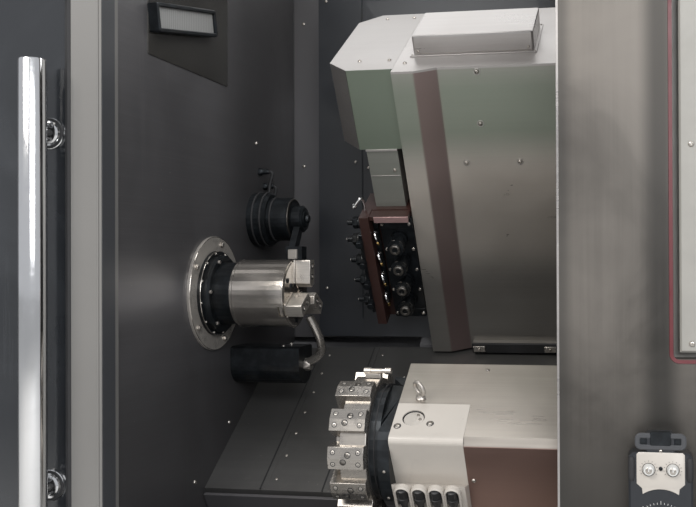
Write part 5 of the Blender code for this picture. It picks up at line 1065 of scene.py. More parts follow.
def dress_nozzles():
    """A brass coolant tip for each tool, its bent pipe with a nut, and the elbow at the top."""
    heading = 0.002 * RIGHT - 0.004 * UP_SLOPE - 0.013 * OFF_BED
    tip = turned([(-0.006, 0.0035), (-0.001, 0.0038), (0.002, 0.0038), (0.005, 0.0022)], 12, {1: 6, 2: 6})
    tips = [placed(tip, slanted(-0.0187, 0.3990, level + 0.0040), heading) for level in TOOL_LEVELS]
    add_piece("nozzle_tips", joined(tips), "brass", "gang")
    nut = turned([(-0.0006, 0.0050), (0.004, 0.0050), (0.005, 0.0040)], 12, {0: 6, 1: 6})
    pipes = [placed(nut, slanted(-0.0247, 0.4105, level + 0.0234), DOWN_SLOPE) for level in TOOL_LEVELS]
    for level in TOOL_LEVELS:
        path = slanted([-0.0247, -0.0240, -0.0215, -0.0190], [0.4120, 0.4030, 0.3990, 0.3990],
                       level + np.array((0.0234, 0.0226, 0.0150, 0.0070)))
        pipes.append(swept(eased(path, 6), 0.0034, 12))
    path = eased(slanted([-0.046, -0.044, -0.048, -0.062], [0.43, 0.428, 0.424, 0.418],
                         [1.230, 1.252, 1.266, 1.252]), 8)
    mouth = turned([(-0.004, 0.0030), (-0.002, 0.0055), (0.002, 0.0060), (0.005, 0.0045),
                    (0.006, 0.0022)], 14)
    pipes += [swept(path, 0.0032, 12), placed(mouth, path[-1], path[-1] - path[-4])]
    add_piece("nozzle_pipes", joined(pipes), "chrome", "gang")


def dress_gang():
    """The gang slide's tool block, turning tools and coolant nozzles."""
    dress_tool_block()
    dress_turning_tools()
    dress_nozzles()


def dress_live_tools():
    """Each live tool's notched nut and its collet mouth."""
    angle = np.linspace(0.0, 2.0 * math.pi, 48, endpoint=False)
    notched = np.where(np.mod(np.arange(48), 8) < 5, 0.0176, 0.0160)
    outline = np.column_stack([notched * np.cos(angle), notched * np.sin(angle)])
    nut = extruded(outline, -0.0125, -0.0035)
    mouth = turned([(-0.0030, 0.0118), (0.0008, 0.0112), (0.0020, 0.0096), (0.0020, 0.0066),
                    (-0.0010, 0.0054)], 28)
    for number, level in enumerate(TOOL_LEVELS):
        body = f"live_tool_{number + 1}"
        tip = slanted(TOOL_X, 0.375, level)
        add_piece(f"{body}_nut", placed(nut, tip, DOWN_SLOPE), "oxide", body)
        ring = placed(torus(0.0166, 0.0007, 32, 6), slanted(TOOL_X, 0.3875, level), DOWN_SLOPE)
        add_piece(f"{body}_collet", joined([placed(mouth, tip, DOWN_SLOPE), ring]), "turned_dark", body)


# Place and level of the turret's axis, and the stations that carry a boring bar or a tool block.
TURRET = np.array((-0.041, 1.037))
HOLDER_STATION = 2
BLOCK_STATIONS = [station for station in range(12) if station != HOLDER_STATION]


def turret_rows(angle):
    """Outward and round-going directions of the turret disc at an angle from up the slope."""
    out = math.cos(angle) * UP_SLOPE + math.sin(angle) * OFF_BED
    along = -math.sin(angle) * UP_SLOPE + math.cos(angle) * OFF_BED
    return out, along


def turret_shape(centre):
    """The turret body: a turned core with a two-faced tool block at eleven of its twelve stations;
    the twelfth carries the boring bar's holder."""
    core = turned([(0.0142, 0.0500), (0.0142, 0.0870), (0.0154, 0.0882), (0.0275, 0.0882),
                   (0.0275, 0.1135), (0.0722, 0.1135), (0.0728, 0.1125), (0.0728, 0.0300),
                   (0.1120, 0.0300)], 72, {4: 12, 5: 12, 6: 12})
    hub = turned([(0.0031, 0.0500), (0.0040, 0.0540), (0.0070, 0.0600), (0.0150, 0.0600)], 64)
    shapes = [placed(core, centre, RIGHT, UP_SLOPE), placed(hub, centre, RIGHT, UP_SLOPE)]
    outline = [(0.0850, -0.0190), (0.1205, -0.0190), (0.1249, 0.0), (0.1205, 0.0190), (0.0850, 0.0190)]
    for station in BLOCK_STATIONS:
        out = turret_rows(station * math.pi / 6.0)[0]
        shapes.append(placed(extruded(outline, 0.0111, 0.0726), centre, RIGHT, out))
    return joined(shapes)


def dress_stations(centre):
    """The screws in each block's four corners and its two clamps, each on a dark disc of painted shade for
    its counterbore. The blocks' two faces lean by the angle whose tangent is their rise over their half
    width."""
    lean = math.atan2(0.0044, 0.0190)
    small, small_axes, large, large_axes = [], [], [], []
    for station in BLOCK_STATIONS:
        out, along = turret_rows(station * math.pi / 6.0)
        for side in (-1.0, 1.0):
            normal = out * math.cos(lean) + along * side * math.sin(lean)
            small += [centre + out * 0.1226 + along * side * 0.0098 + RIGHT * x for x in (0.0205, 0.0635)]
            small_axes += [normal, normal]
            large.append(centre + out * 0.1236 + along * side * 0.0060 + RIGHT * (0.0420 - side * 0.0040))
            large_axes.append(normal)
    small, small_axes, large, large_axes = map(np.array, (small, small_axes, large, large_axes))
    # The dark discs under the screws and clamps are painted shade of their counterbores.
    well = turned([(-0.0006, 0.0046), (0.0002, 0.0044)], 12)
    screws("station_wells", well, small, small_axes, "turret", "oxide")
    screws("station_screws", button_head(0.0034, 0.0005), small, small_axes, "turret", "turned_mid")
    well = turned([(-0.0006, 0.0056), (0.0004, 0.0054)], 12)
    screws("clamp_wells", well, large, large_axes, "turret", "oxide")
    screws("station_clamps", button_head(0.0046, 0.0012), large, large_axes, "turret", "turned_dark")


def dress_turret():
    """The turret's blocks with their screws and clamps, the hub's screws and the boring holder."""
    centre = slanted(0.0, *TURRET)
    body = add_piece("turret_blocks", turret_shape(centre), "turret_steel", "turret", 25.0,
                     bevel=0.0009)
    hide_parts("turret_disc")
    dress_stations(centre)
    hub = corners("turret_disc")[0][0]
    spots = bolt_circle(centre + RIGHT * (hub + 0.0001), -RIGHT, 0.040, 8)
    screws("hub_screws", socket_head(0.0048, 0.0028), spots, -RIGHT, "turret", "oxide")
    out = turret_rows(HOLDER_STATION * math.pi / 6.0)[0]
    bar = turned([(0.0400, 0.0040), (0.0410, 0.0056), (0.0530, 0.0056), (0.0535, 0.0044), (0.0780, 0.0044),
                  (0.0785, 0.0060), (0.0890, 0.0060), (0.0900, 0.0048)], 20)
    block = plate((0.044, -0.0075), (0.072, 0.0075), 0.002, 0.0070)
    holder = [placed(bar, centre + out * 0.1240, RIGHT), placed(block, centre + out * 0.1130, out, RIGHT)]
    add_piece("boring_holder", joined(holder), "jaw_steel", "turret")


def dress_ring():
    """The rim screws of the black ring behind the turret and its grooves."""
    centre = slanted(0.0, *TURRET)
    angles = [angle for angle in math.radians(12.0) + np.arange(12) * math.pi / 6.0
              if not math.radians(46.0) < angle < math.radians(134.0)]
    places, axes = [], []
    for angle in angles:
        out = turret_rows(angle)[0]
        places.append(centre + out * 0.1118 + RIGHT * 0.1035)
        axes.append(out)
    screws("ring_screws", button_head(0.0028, 0.0018), np.array(places), np.array(axes), "lower_slide")
    places = [centre + turret_rows(angle)[0] * 0.1062 + RIGHT * 0.0932 for angle in angles]
    screws("ring_face_screws", socket_head(0.0022, 0.0014), np.array(places), -RIGHT, "lower_slide")
    seals = [placed(torus(radius, 0.0012, 80, 8), centre + RIGHT * x, RIGHT)
             for x, radius in ((0.0740, 0.0995), (0.0840, 0.0998))]
    add_piece("ring_seals", joined(seals), "rubber", "lower_slide")


def arch(radius, wall, leg, depth):
    """A half ring on two legs: points (r cos t, r sin t) over the top and straight down its sides."""
    angle = np.concatenate([[0.0], np.linspace(0.0, math.pi, 14), [math.pi]])
    drop = np.concatenate([[-leg], np.zeros(14), [-leg]])
    outer = radius + wall
    section = ((radius, 0.0), (outer, 0.0), (outer, depth - 0.002), (outer - 0.002, depth),
               (radius + 0.001, depth), (radius, depth - 0.001))
    rings = [np.column_stack([reach * np.cos(angle), reach * np.sin(angle) + drop,
                              np.full(len(angle), height)]) for reach, height in section]
    return skinned(np.stack(rings, axis=1))


def dress_window(top):
    """The casting's sunk oil window with a dark ring of painted shade at its rim, and two screws."""
    window = slanted(0.146, -0.075, top)
    glass = turned([(-0.0060, 0.0186), (-0.0036, 0.0186), (-0.0030, 0.0178)], 48)
    add_piece("oil_window", placed(glass, window, OFF_BED), "turned_mid", "lower_slide")
    # A dark ring at the recess's rim: painted shade of its wall.
    edge = placed(torus(0.0180, 0.0011, 48, 8), window - OFF_BED * 0.0030, OFF_BED)
    add_piece("window_rim_painted_shade", edge, "oxide", "lower_slide")
    spots = window + np.array([RIGHT * 0.0105, RIGHT * 0.0060 + UP_SLOPE * 0.0095]) - OFF_BED * 0.0032
    screws("window_screws", button_head(0.0028, 0.0020), spots, OFF_BED, "lower_slide")


def dress_glands():
    """Four arched pockets on a sloped backing, each with a cable gland and a short cable."""
    front = slant_coordinates("hose_manifold")[0][1]
    places = [0.1317 + 0.028 * number for number in range(4)]
    pocket = arch(0.0104, 0.0034, 0.0345, 0.0105)
    pockets = [placed(pocket, slanted(x, front + 0.0004, 1.0366), DOWN_SLOPE, RIGHT) for x in places]
    backing = extruded([(front, 1.0110), (-0.1284, 1.0110), (-0.1284, 1.0270), (front, 1.0480)],
                       0.1132, 0.2368)
    pockets.append(placed(backing, (0.0, 0.0, 0.0), RIGHT, UP_SLOPE))
    add_piece("gland_pockets", joined(pockets), "white", "lower_slide")
    gland = turned([(0.0, 0.0055), (0.0015, 0.0082), (0.0060, 0.0090), (0.0150, 0.0090), (0.0155, 0.0080),
                    (0.0175, 0.0080), (0.0180, 0.0096), (0.0270, 0.0096), (0.0285, 0.0066),
                    (0.0340, 0.0062)], 18, {2: 6, 3: 6})
    glands = [placed(gland, slanted(x, front - 0.0066, 1.0456), -OFF_BED) for x in places]
    add_piece("cable_glands", joined(glands), "black_plastic", "lower_slide")
    cables = []
    for x in places:
        path = slanted([x, x, x + 0.001, x], front + np.array((-0.0066, -0.0070, -0.0045, -0.0020)),
                       [1.012, 0.982, 0.954, 0.9305])
        cables.append(swept(eased(path, 6), 0.0052, 12))
    add_piece("cables", joined(cables), "rubber", "lower_slide")


def dress_housing():
    """The white casting's oil window, screws, gland pockets with cables, and the eyebolt."""
    top = slant_coordinates("turret_housing")[1][2]
    dress_window(top)
    spots = slanted([0.1225, 0.1766], [-0.0955, -0.0881], top)
    # A dark disc round each screw: painted shade of its counterbore.
    screws("casting_wells", turned([(-0.0006, 0.0066), (0.0002, 0.0064)], 18), spots, OFF_BED,
           "lower_slide", "oxide")
    screws("casting_screws", button_head(0.0054, 0.0014), spots, OFF_BED, "lower_slide")
    dress_glands()
    cover_front = slant_coordinates("turret_cover")[0][1]
    places = slanted([0.247, 0.47, 0.47], cover_front, [1.0378, 1.0378, 0.945])
    places = seated("turret_cover", places, DOWN_SLOPE)
    screws("cover_front_screws", button_head(0.0042, 0.0028), places, DOWN_SLOPE, "lower_slide")
    places = slanted([0.255, 0.48], [0.050, 0.050], top)
    screws("cover_top_screws", button_head(0.0038, 0.0024), places, OFF_BED, "lower_slide")
    low, high = slant_coordinates("eyebolt")
    place = slanted((low[0] + high[0]) / 2.0, (low[1] + high[1]) / 2.0, low[2])
    stem = turned([(0.0, 0.0086), (0.0030, 0.0086), (0.0042, 0.0070), (0.0070, 0.0044),
                   (0.0095, 0.0038)], 24)
    eye = placed(torus(0.0122, 0.0034, 48, 14), place + OFF_BED * 0.0216, UP_SLOPE + RIGHT * 0.9)
    bolt = add_piece("lifting_eye", joined([placed(stem, place, OFF_BED), eye]), "turned_mid",
                     "lower_slide")
    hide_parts("eyebolt")


def key_rows(left, bottom, columns, rows, pitch, size, height):
    """A block of small keys on a grid, each a square whose top is drawn in towards its middle."""
    keys = []
    for row in range(rows):
        for column in range(columns):
            x, z = left + column * pitch, bottom + row * pitch
            outline = np.array(((x, z), (x + size, z), (x + size, z + size), (x, z + size)))
            middle = outline.mean(axis=0)
            rings = [np.column_stack([middle + (outline - middle) * scale, np.full(4, rise)])
                     for scale, rise in ((1.0, -0.0004), (1.0, height * 0.7), (0.86, height))]
            keys.append(skinned(np.stack(rings)))
    return joined(keys)


def dress_right_panel():
    """The front right panel's edge fold with its painted highlight, the maroon line round its recess, and
    the control panel.
    """
    face = corners("front_right_panel")[0][1]
    section = [(0.0008, -0.0004), (0.0008, 0.0010), (0.0062, 0.0016), (0.0068, -0.0004)]
    line = framed((0.568, 1.019), (1.115, 1.720), 0.008, section)
    add_piece("recess_line", on_front(line, face), "maroon_line", "machine")
    # The fold along the opening's edge is real; its brighter top-cover finish is a painted highlight.
    fold = box_shape((0.3962, face + 0.0004, 0.702), (0.4003, face + 0.0260, 1.758))
    add_piece("panel_fold_painted_highlight", fold, "steel_top", "machine", bevel=0.0006)
    panel = corners("control_panel")[0][1]
    spots = [(x, panel, z) for x in (0.5945, 1.0885) for z in (1.041, 1.335, 1.697)]
    screws("panel_screws", button_head(0.0045, 0.0030), np.array(spots), -BACK, "machine")
    screen_low, screen_high, rim = np.array((0.660, 1.420)), np.array((1.020, 1.680)), 0.009
    bezel = framed(screen_low, screen_high, 0.010,
                   [(-0.010, 0.0), (0.0, -0.0004), (0.0, 0.0026), (-0.003, 0.0034), (-0.010, 0.0014)])
    add_piece("screen_bezel", on_front(bezel, panel), "black_plastic", "machine")
    screen = plate(screen_low + rim, screen_high - rim, 0.004, 0.0010)
    add_piece("screen", on_front(screen, panel), "screen", "machine")
    keys = joined([key_rows(0.664, 1.240, 9, 6, 0.0245, 0.0185, 0.0032),
                   key_rows(0.906, 1.240, 4, 6, 0.0290, 0.0220, 0.0032),
                   key_rows(0.664, 1.060, 6, 3, 0.0310, 0.0230, 0.0040)])
    add_piece("keys", on_front(keys, panel), "keys", "machine", smooth=0.0)
    soft_keys = key_rows(0.676, 1.3925, 12, 1, 0.0285, 0.0160, 0.0026)
    add_piece("soft_keys", on_front(soft_keys, panel), "black_plastic", "machine", smooth=0.0)
    dial = turned([(0.0, 0.0240), (0.0012, 0.0240), (0.0020, 0.0185), (0.0120, 0.0165), (0.0140, 0.0150),
                   (0.0140, 0.0040)], 24, {3: 12})
    dials = [placed(dial, (x, panel, z), -BACK, RIGHT) for z in (1.150, 1.080) for x in (0.890, 0.965)]
    add_piece("override_dials", joined(dials), "black_plastic", "machine")
    button = front_middle("stop_button")
    guard = placed(torus(0.0262, 0.0022, 44, 8), (button[0], panel - 0.001, button[2]), -BACK)
    add_piece("stop_guard", guard, "keys", "machine")


def pendant_face_plate():
    """The pendant's pale face: its lower edge is the arc z = c + sqrt(r^2 - x^2) that clears the
    handwheel's ring, and its upper edge is broken."""
    arc_radius, arc_top = 0.0471, 0.0115
    across = np.linspace(-0.0255, 0.0255, 13)
    arc = np.column_stack([across, arc_top - arc_radius + np.sqrt(arc_radius ** 2 - across ** 2)])
    right = [(0.0265, 0.0125), (0.0340, 0.0190), (0.0340, 0.0610), (0.0310, 0.0640)]
    left = [(-x, z) for x, z in reversed(right)]
    outline = np.array([*arc, *right, *left])
    centre = np.array((0.0, 0.0370))
    rings = [np.column_stack([centre + (outline - centre) * scale, np.full(len(outline), rise)])
             for scale, rise in ((1.0, -0.0004), (1.0, 0.0010), (0.975, 0.0016))]
    return skinned(np.stack(rings))


def dress_dial(wheel):
    """The ring round the pendant's handwheel, with fifty ticks, every fifth one longer."""
    ring = turned([(-0.0004, 0.0400), (0.0012, 0.0400), (0.0020, 0.0390), (0.0020, 0.0318),
                   (0.0004, 0.0310)], 64)
    add_piece("dial_ring", placed(ring, wheel, -BACK, RIGHT), "coat_black", "machine")
    ticks = []
    for number in range(50):
        angle = number * math.pi / 25.0
        out = np.array((math.sin(angle), 0.0, math.cos(angle)))
        length = 0.0028 if number % 5 else 0.0050
        tick = box_shape((-0.0003, -length, 0.0019), (0.0003, 0.0, 0.0022))
        ticks.append(placed(tick, wheel + out * 0.0385, -BACK, np.cross(-BACK, out)))
    add_piece("dial_ticks", joined(ticks), "keys", "machine", smooth=0.0)


def dress_knobs(face):
    """Marks round the pendant's two knobs on its face, and a pointer and cap on each knob."""
    knobs = {name: front_middle(f"pendant_{name}") for name in ("left_knob", "right_knob")}
    marks = []
    for knob in knobs.values():
        foot = np.array((knob[0], face - 0.0014, knob[2]))
        marks.append(placed(torus(0.0092, 0.0005, 32, 6), foot, -BACK))
        for turn in np.radians(np.arange(-120.0, 121.0, 24.0)):
            out = np.array((math.sin(turn), 0.0, math.cos(turn)))
            mark = box_shape((-0.0002, -0.0009, -0.0003), (0.0002, 0.0009, 0.0002))
            marks.append(placed(mark, foot + out * 0.0122 - BACK * 0.0005, -BACK, np.cross(out, -BACK)))
    add_piece("knob_marks", joined(marks), "oxide", "machine", smooth=0.0)
    pointer = box_shape((-0.0007, -0.0010, 0.0002), (0.0007, 0.0062, 0.0012))
    cap = turned([(-0.0004, 0.0050), (0.0004, 0.0048), (0.0008, 0.0040)], 18)
    for name, knob in knobs.items():
        add_piece(f"{name}_pointer", placed(pointer, knob, -BACK, RIGHT), "keys", name)
        add_piece(f"{name}_cap", placed(cap, knob, -BACK, RIGHT), "screws", name)


def dress_pendant():
    """The hand pendant's pale face, dial ring with ticks, side grips, hanger and small parts."""
    low, high = corners("pendant_body")
    face, middle = low[1], (low[0] + high[0]) / 2.0
    face_foot = 0.8253
    add_piece("pendant_face", placed(pendant_face_plate(), (middle, face, face_foot), -BACK, RIGHT),
              "white", "machine")
    wheel = front_middle("pendant_handwheel")
    dress_dial(np.array((middle, face, wheel[2])))
    levels = np.linspace(0.8480, 0.8820, 12)
    swell = 0.0052 * np.sqrt(1.0 - 0.6 * np.linspace(-1.0, 1.0, 12) ** 6)
    grips = [swept(np.column_stack([np.full(12, middle + side), np.full(12, face + 0.0010), levels]),
                   swell, 12) for side in (-0.0410, 0.0410)]
    add_piece("pendant_grips", joined(grips), "rubber", "machine")
    hanger = framed((middle - 0.0365, 0.8925), (middle + 0.0365, 0.9165), 0.009,
                    [(-0.0075, 0.0), (0.0, 0.0), (0.0, 0.0040), (-0.0015, 0.0052), (-0.0060, 0.0052),
                     (-0.0075, 0.0040)])
    add_piece("pendant_hanger", on_front(hanger, face + 0.004), "coat_dark", "machine")
    recess = plate((middle - 0.0300, 0.8925), (middle + 0.0300, 0.9135), 0.004, 0.0030)
    bracket = plate((middle - 0.0150, 0.8990), (middle + 0.0150, 0.9190), 0.003, 0.0065)
    add_piece("pendant_bracket", on_front(joined([recess, bracket]), face + 0.005), "oxide", "machine")
    lamp = turned([(0.0, 0.0030), (0.0022, 0.0028), (0.0026, 0.0018)], 16)
    add_piece("pendant_lamp", placed(lamp, (middle, face - 0.0014, 0.8665), -BACK), "oxide", "machine")
    spots = np.array([(middle, face - 0.0006, 0.8915)])
    screws("pendant_screws", button_head(0.0026, 0.0018), spots, -BACK, "machine")
    dress_knobs(face)
    crank = turned([(-0.003, 0.0034), (0.001, 0.0034), (0.002, 0.0050), (0.008, 0.0056), (0.012, 0.0050),
                    (0.0135, 0.0030)], 20)
    add_piece("wheel_knob", placed(crank, wheel + np.array((0.014, 0.0010, 0.0145)), -BACK), "chrome",
              "handwheel")
    hub = turned([(-0.0005, 0.0086), (0.0010, 0.0080), (0.0014, 0.0060)], 28)
    add_piece("wheel_cap", placed(hub, wheel, -BACK), "screws", "handwheel")


def louvre(sizes, length):
    """One pressed louvre: half rounds h cos t / 2 by d sin t, whose size follows sqrt(1 - u^6) for
    u from -1 to 1 along its length."""
    along = np.linspace(-1.0, 1.0, 7)[:, None]
    size = np.sqrt(np.maximum(1.0 - along ** 6, 0.02))
    angle = np.linspace(0.0, math.pi, 6)[None, :]
    reach = np.broadcast_to(along * length / 2.0, (7, 6))
    return skinned(np.stack([reach, sizes.louvre_height * size * np.cos(angle) / 2.0,
                             sizes.louvre_depth * size * np.sin(angle) - 0.0005], axis=-1))


def seam(low, high):
    """The seam round a cover's door: a low moulding on a rounded rectangle."""
    return framed(low, high, 0.012, [(0.0, -0.0004), (0.0, 0.0012), (-0.0022, 0.0018), (-0.0030, -0.0004)])


def dress_side_cover(sizes, name, x, along, first):
    """One side cover's louvres, door seams, screws and latches; first runs level along the side."""
    slat = louvre(sizes, 0.17)
    vents = [placed(slat, (x, y, z), along, first)
             for z in 1.22 + sizes.louvre_pitch * np.arange(14) for y in (0.36, 0.58)]
    add_piece(f"{name}_louvres", joined(vents), "coat", "machine", 60.0)
    seams = []
    for low, high in (((-0.66, 0.30), (0.10, 1.10)), ((0.20, 0.30), (0.76, 1.10)),
                      ((0.20, 1.16), (0.76, 1.72))):
        ends = sorted((low[0] * first[1], high[0] * first[1]))
        seams.append(placed(seam((ends[0], low[1]), (ends[1], high[1])), (x, 0.0, 0.0), along, first))
    add_piece(f"{name}_door_seams", joined(seams), "coat_dark", "machine")
    spots = [(x, y, z) for y in (-0.72, -0.36, 0.14, 0.48, 0.82) for z in (0.16, 0.55, 1.13, 1.55, 1.88)]
    screws(f"{name}_cover_screws", button_head(0.006, 0.004), np.array(spots), along, "machine")
    latch = turned([(0.0, 0.017), (0.0015, 0.017), (0.003, 0.0145), (0.0045, 0.011), (0.0045, 0.004)], 24)
    places = ((0.06, 0.5), (0.06, 0.9), (0.72, 0.5), (0.72, 0.9), (0.72, 1.3), (0.72, 1.6))
    latches = [placed(latch, (x, y, z), along) for y, z in places]
    add_piece(f"{name}_latches", joined(latches), "black_plastic", "machine")


def dress_rear_cover(sizes):
    """The rear cover's louvres, the seams of its six doors, and its screws."""
    rear = corners("rear_cover")[1][1]
    slat = louvre(sizes, 0.20)
    vents = [placed(slat, (x, rear, z), BACK, -RIGHT)
             for x in (-0.86, -0.62, 0.62, 0.86) for z in 1.20 + sizes.louvre_pitch * np.arange(16)]
    add_piece("rear_louvres", joined(vents), "coat", "machine", 60.0)
    half, tall = 0.27, 0.72
    seams = [placed(seam((-x - half, low), (-x + half, low + tall)), (0.0, rear, 0.0), BACK, -RIGHT)
             for x in (-0.74, 0.0, 0.74) for low in (0.26, 1.10)]
    add_piece("rear_door_seams", joined(seams), "coat_dark", "machine")
    spots = [(x, rear, z) for x in (-1.12, -0.37, 0.37, 1.12) for z in (0.16, 0.62, 1.04, 1.50, 1.88)]
    screws("rear_cover_screws", button_head(0.006, 0.004), np.array(spots), BACK, "machine")


def dress_front_covers():
    """Screws of the front frame and of the front right panel."""
    front = corners("front_right_panel")[0][1]
    spots = [(x, front, z) for x in (-1.12, -0.72, -0.34) for z in (0.16, 0.58)]
    spots += [(x, front, 1.86) for x in (-1.12, -0.6, -0.1, 0.35)]
    screws("front_screws", button_head(0.005, 0.0035), np.array(spots), -BACK, "machine")
    spots = [(x, front, z) for x in (0.44, 0.80, 1.12) for z in (0.16, 0.60)]
    spots += [(1.145, front, z) for z in (1.02, 1.37, 1.86)]
    spots = seated("front_right_panel", np.array(spots), -BACK)
    screws("front_right_screws", button_head(0.0045, 0.0030), spots, -BACK, "machine")


def dress_feet():
    """A lock nut and a turned pad on each levelling foot."""
    nut = turned([(0.050, 0.030), (0.052, 0.032), (0.068, 0.032), (0.070, 0.030)], 24,
                 {0: 6, 1: 6, 2: 6, 3: 6})
    pad = turned([(0.0, 0.0590), (0.004, 0.0600), (0.010, 0.0600), (0.014, 0.0560)], 48)
    feet = []
    for number in range(4):
        middle = front_middle(f"leveling_foot_{number + 1}")
        depth = corners(f"leveling_foot_{number + 1}")[1][1]
        centre = (middle[0], (middle[1] + depth) / 2.0, 0.0)
        feet += [placed(nut, centre, UP), placed(pad, centre, UP)]
    add_piece("foot_nuts", joined(feet), "screws", "machine")


def dress_covers(sizes):
    """The fine parts of the outer covers and the feet."""
    half_width = corners("rear_cover")[1][0]
    dress_side_cover(sizes, "left", -half_width, -RIGHT, -BACK)
    dress_side_cover(sizes, "right", half_width, RIGHT, BACK)
    dress_rear_cover(sizes)
    dress_front_covers()
    dress_feet()


def make_floor(sizes):
    """A wide flat pale floor under the machine."""
    reach = sizes.floor_width
    mesh = bpy.data.meshes.new("studio_floor")
    mesh.from_pydata([(-reach, -reach, 0.0), (reach, -reach, 0.0), (reach, reach, 0.0),
                      (-reach, reach, 0.0)], [], [(0, 1, 2, 3)])
    surface = Finish("studio_floor", roughness=0.7)
    cloud = surface.noise(0.8, 4.0)
    colour = surface.mix(cloud, (0.66, 0.66, 0.65), (0.72, 0.72, 0.71))
    mesh.materials.append(surface.done(colour))
    floor = bpy.data.objects.new("studio_floor", mesh)
    bpy.context.scene.collection.objects.link(floor)


def add_light(name, place, target, size, power, colour=(1.0, 1.0, 1.0)):
    """A rectangular soft light at a place, turned to a target."""
    light = bpy.data.lights.new(name, "AREA")
    light.shape = "RECTANGLE"
    light.size, light.size_y = size
    light.energy = power
    light.color = colour
    holder = bpy.data.objects.new(name, light)
    holder.location = place
    aim = Vector(target) - Vector(place)
    holder.rotation_euler = aim.to_track_quat("-Z", "Y").to_euler()
    bpy.context.scene.collection.objects.link(holder)
    return holder


def make_lights(sizes):
    """A pale even sky, a large key light, a fill and the machine's own two work lights."""
    world = bpy.data.worlds.new("studio")
    world.use_nodes = True
    background = world.node_tree.nodes["Background"]
    background.inputs["Color"].default_value = (0.93, 0.95, 1.0, 1.0)
    background.inputs["Strength"].default_value = sizes.sky_level
    bpy.context.scene.world = world
    add_light("key", (-1.6, -4.2, 3.8), (0.2, 0.0, 1.1), (2.6, 1.8), sizes.key_power, (1.0, 0.965, 0.92))
    add_light("fill", (1.8, -4.0, 2.6), (0.1, 0.0, 1.0), (2.4, 2.0), sizes.fill_power, (0.97, 0.98, 1.0))
    add_light("rim", (1.5, 5.5, 4.5), (0.0, 0.5, 1.0), (3.0, 2.0), sizes.rim_power)
    add_light("work_light", (0.0, -0.62, 1.88), (-0.05, -0.30, 1.0), (0.50, 0.20), 1.8)
    add_light("roof_light", (0.10, -0.16, 1.905), (0.10, -0.16, 1.0), (0.80, 0.34), 1.5)


def make_camera():
    """The photo's camera: yaw to the left, a little pitch and roll, and the crop as a lens shift."""
    place = Vector((0.5133, -2.1899, 1.1674))
    yaw, pitch, roll = math.radians(9.07), math.radians(0.324), math.radians(-0.248)
    focal_pixels = 930.0
    forward = Vector((-math.sin(yaw) * math.cos(pitch), math.cos(yaw) * math.cos(pitch),
                      math.sin(pitch)))
    level = Vector((math.cos(yaw), math.sin(yaw), 0.0))
    above = level.cross(forward)
    right = level * math.cos(roll) + above * math.sin(roll)
    up = above * math.cos(roll) - level * math.sin(roll)
    data = bpy.data.cameras.new("photo_camera")
    data.sensor_width = 36.0
    data.lens = focal_pixels / PHOTO_SIZE[0] * data.sensor_width
    data.shift_x = -0.2
    data.clip_start = 0.05
    camera = bpy.data.objects.new("photo_camera", data)
    camera.matrix_world = Matrix((
        (right.x, up.x, -forward.x, place.x),
        (right.y, up.y, -forward.y, place.y),
        (right.z, up.z, -forward.z, place.z),
        (0.0, 0.0, 0.0, 1.0)))
    bpy.context.scene.collection.objects.link(camera)
    bpy.context.scene.camera = camera
    bpy.context.scene.view_settings.view_transform = "Standard"


def colour_property(name, description, value):
    """A linear colour for the property group."""
    return bpy.props.FloatVectorProperty(name=name, description=description, default=value,
                                         subtype="COLOR", size=3, min=0.0, max=1.0)


def length_property(name, description, value):
    """A length in metres for the property group."""
    return bpy.props.FloatProperty(name=name, description=description, default=value, min=0.0,
                                   unit="LENGTH", subtype="DISTANCE")


